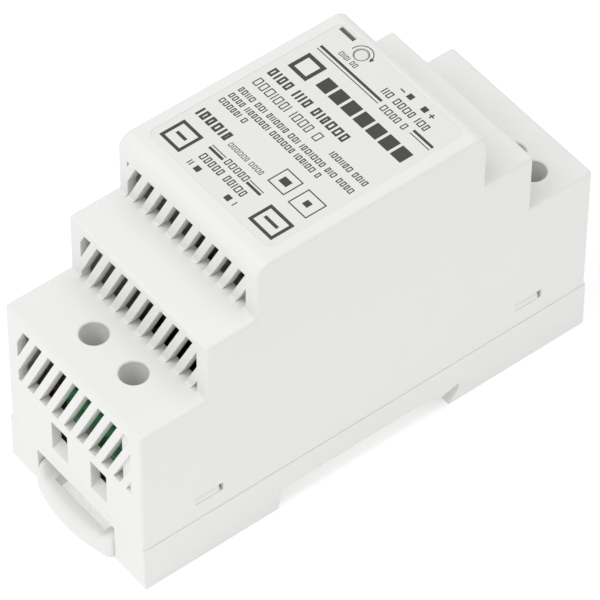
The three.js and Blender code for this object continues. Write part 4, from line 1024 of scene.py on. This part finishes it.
for prefix, winding, slot, radius, pitch, relief, leg in (
        ("choke", enamelled, "copper", 1.7, 0.5, 0.12, (5.5, 6.1)),
        ("transformer", tape, "tape_yellow", 4.2, 3.9, 0.05, (7.9, 8.3))):
    for half in ("lower", "upper"):
        node = f"{prefix}_core_{half}"
        settle(softened_copy(node, 0.25), ferrite, node)
    node = f"{prefix}_bobbin"
    settle(softened_copy(node, 0.12), black_resin, node)
    node = f"{prefix}_winding"
    low, high = (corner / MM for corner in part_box(node))
    x, y = (low.x + high.x) / 2, (low.y + high.y) / 2
    turns = turns_block(node, radius, pitch, relief)
    cut(turns, [cuboid(
        "inside", (x - leg[0] / 2, y - leg[1] / 2, low.z - 1), (x + leg[0] / 2, y + leg[1] / 2, high.z + 1))])
    settle(turns, winding, node)

low, high = (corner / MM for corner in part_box("output_inductor_core"))
drum_x, drum_y, drum_r = (low.x + high.x) / 2, (low.y + high.y) / 2, (high.x - low.x) / 2
drum = lathe("drum", [
    (0, low.z), (drum_r - 0.3, low.z), (drum_r, low.z + 0.3), (drum_r, low.z + 1.2),
    (drum_r - 0.2, low.z + 1.4), (2.2, low.z + 1.4), (2.2, high.z - 1.4), (drum_r - 0.2, high.z - 1.4),
    (drum_r, high.z - 1.2), (drum_r, high.z - 0.3), (drum_r - 0.3, high.z), (0, high.z)], drum_x, drum_y)
settle(drum, ferrite, "output_inductor_core")
low, high = (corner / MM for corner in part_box("output_inductor_winding"))
wire = 0.28
winding = coil("output_inductor_winding", (high.z - low.z - 2 * wire) / (2.02 * wire), drum_r - 0.1 - wire,
               high.z - low.z - 2 * wire, wire, enamelled,
               Matrix.Translation((drum_x, drum_y, low.z + wire)))
settle(winding, enamelled, "output_inductor_winding")

# ---- Capacitors, discs and fuse ----
# Electrolytic cans in shrunk sleeves with a pale polarity stripe and scored tops; a boxed film
# capacitor; lacquer-dipped discs on two legs; a drum-shaped fuse.


def sleeved(name, code, centre, top):
    """Shrink sleeve over an aluminium can: satin colour, pale stripe down one side, bare grey top."""
    material, tree = new_material(name)
    place = add_node(tree, "ShaderNodeTexCoord").outputs["Object"]
    from_axis = add_node(tree, "ShaderNodeVectorMath", {"operation": "SUBTRACT"}, {
        0: place, 1: (centre[0] * MM, centre[1] * MM, 0)})
    split = add_node(tree, "ShaderNodeSeparateXYZ", inputs={"Vector": from_axis.outputs["Vector"]})
    angle = add_node(tree, "ShaderNodeMath", {"operation": "ARCTAN2"}, {
        0: split.outputs["Y"], 1: split.outputs["X"]})
    away = add_node(tree, "ShaderNodeMath", {"operation": "ABSOLUTE"}, {0: angle.outputs["Value"]})
    stripe = add_node(tree, "ShaderNodeMath", {"operation": "LESS_THAN"}, {0: away.outputs["Value"], 1: 0.35})
    tone = add_node(tree, "ShaderNodeMix", {"data_type": "RGBA"}, {
        0: stripe.outputs["Value"], 6: srgb(code), 7: srgb("B9BCC2")})
    lid = add_node(tree, "ShaderNodeMath", {"operation": "GREATER_THAN"}, {
        0: split.outputs["Z"], 1: (top - 0.3) * MM})
    whole = add_node(tree, "ShaderNodeMix", {"data_type": "RGBA"}, {
        0: lid.outputs["Value"], 6: tone.outputs[2], 7: srgb("9EA1A6")})
    finish_surface(tree, {"Base Color": whole.outputs[2], "Roughness": 0.32})
    return material


def lead(x, y, top):
    """A component's round leg, from the board up into its body."""
    foot = BOARD_TOP + 0.1
    return lathe("lead", [(0, foot), (0.4, foot), (0.4, top), (0, top)], x, y, 16)


def can(node, code):
    """An electrolytic can: rolled neck above the foot, crimped rim and a scored top, on two legs."""
    low, high = (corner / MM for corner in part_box(node))
    x, y, r = (low.x + high.x) / 2, (low.y + high.y) / 2, (high.x - low.x) / 2
    foot = BOARD_TOP + 0.4
    made = lathe(node, [
        (0, foot), (r - 0.5, foot), (r - 0.1, foot + 0.15), (r, foot + 0.6), (r, foot + 1.5),
        *[(r - 0.55 * math.sin(k * math.pi / 6), foot + 1.5 + 1.3 * k / 6) for k in range(1, 6)],
        (r, foot + 2.8), (r, high.z - 0.6), (r - 0.18, high.z - 0.18), (r - 0.6, high.z),
        (r - 0.9, high.z), (r - 1.0, high.z - 0.25), (0, high.z - 0.25)], x, y, 64)
    scores = [
        cuboid("score", (x - r * 0.6, y - 0.12, high.z - 0.4), (x + r * 0.6, y + 0.12, high.z + 1)),
        cuboid("score", (x - 0.12, y - r * 0.6, high.z - 0.43), (x + 0.12, y + r * 0.6, high.z + 1)),
    ]
    cut(made, scores)
    for side in (-1, 1):
        join(made, [lead(x + side * r / 2, y, foot + 0.5)])
    settle(made, sleeved(f"shrink_sleeve_{node}", code, (x, y), high.z), node)


can("bulk_capacitor", "2A2C33")
can("output_capacitor_left", "2E3552")
can("output_capacitor_right", "2E3552")


def disc(node, code):
    """A dipped disc standing on edge, its two legs thickened by the lacquer."""
    low, high = (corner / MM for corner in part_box(node))
    x, y = (low.x + high.x) / 2, (low.y + high.y) / 2
    r, half = (high.y - low.y) / 2, (high.x - low.x) / 2
    profile = [(0, -half), (r * 0.6, -half * 0.95)]
    rim = half * 0.55
    profile += [(r - rim + rim * math.cos(a * math.pi / 12), half * 0.9 * math.sin(a * math.pi / 12))
                for a in range(-5, 6)]
    profile += [(r * 0.6, half * 0.95), (0, half)]
    made = lathe(node, profile, 0, 0)
    made.data.transform(Matrix.Translation((x, y, high.z - r)) @ Matrix.Rotation(math.pi / 2, 4, "Y"))
    for side in (-1, 1):
        join(made, [lathe("leg", [
            (0, BOARD_TOP + 0.1), (0.35, BOARD_TOP + 0.1), (0.4, BOARD_TOP + 2.6), (0.7, BOARD_TOP + 3.4),
            (0.7, BOARD_TOP + 5), (0, BOARD_TOP + 5)], x, y + side * r / 2, 16)])
    settle(made, moulded(f"dipped_lacquer_{node}", code, 0.3, 0.5), node)


disc("surge_varistor", "2F62A8")
disc("safety_capacitor", "3A78C2")
disc("inrush_thermistor", "2C4A38")

low, high = (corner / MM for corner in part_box("suppression_capacitor"))
film_box = cuboid("film", (low.x, low.y, BOARD_TOP + 0.4), tuple(high))
soften(film_box, 0.4, 3)
for side in (-1, 1):
    middle = (low.x + high.x) / 2
    join(film_box, [lead(middle + side * (high.x - low.x) / 3, (low.y + high.y) / 2, BOARD_TOP + 1)])
settle(film_box, moulded("moulded_yellow_box", "DDB63C", 0.38), "suppression_capacitor")

low, high = (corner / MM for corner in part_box("input_fuse"))
fuse_x, fuse_y, fuse_r = (low.x + high.x) / 2, (low.y + high.y) / 2, (high.x - low.x) / 2
LEG_PITCH = 5.08
fuse = lathe("fuse", [
    (0, BOARD_TOP + 0.5), (fuse_r - 0.2, BOARD_TOP + 0.5), (fuse_r, BOARD_TOP + 0.8),
    (fuse_r, high.z - 0.4), (fuse_r - 0.4, high.z), (0, high.z)], fuse_x, fuse_y)
for side in (-1, 1):
    join(fuse, [lead(fuse_x + side * LEG_PITCH / 2, fuse_y, BOARD_TOP + 1)])
settle(fuse, moulded("moulded_brown_fuse", "6B4A2E", 0.4), "input_fuse")

# ---- Semiconductors and heatsinks ----
# Black epoxy packages on tinned legs, two of them bolted to bare aluminium plates.

sheet_aluminium = steel("brushed_sheet_aluminium", "B8BBBF", 0.4, 0.3, (1, 1, 0.06))
for node in ("primary_heatsink", "secondary_heatsink"):
    settle(softened_copy(node, 0.2), sheet_aluminium, node)
for node in ("switching_transistor", "output_rectifier", "bridge_rectifier", "optocoupler",
             "controller_chip"):
    settle(softened_copy(node, 0.15), black_resin, node)
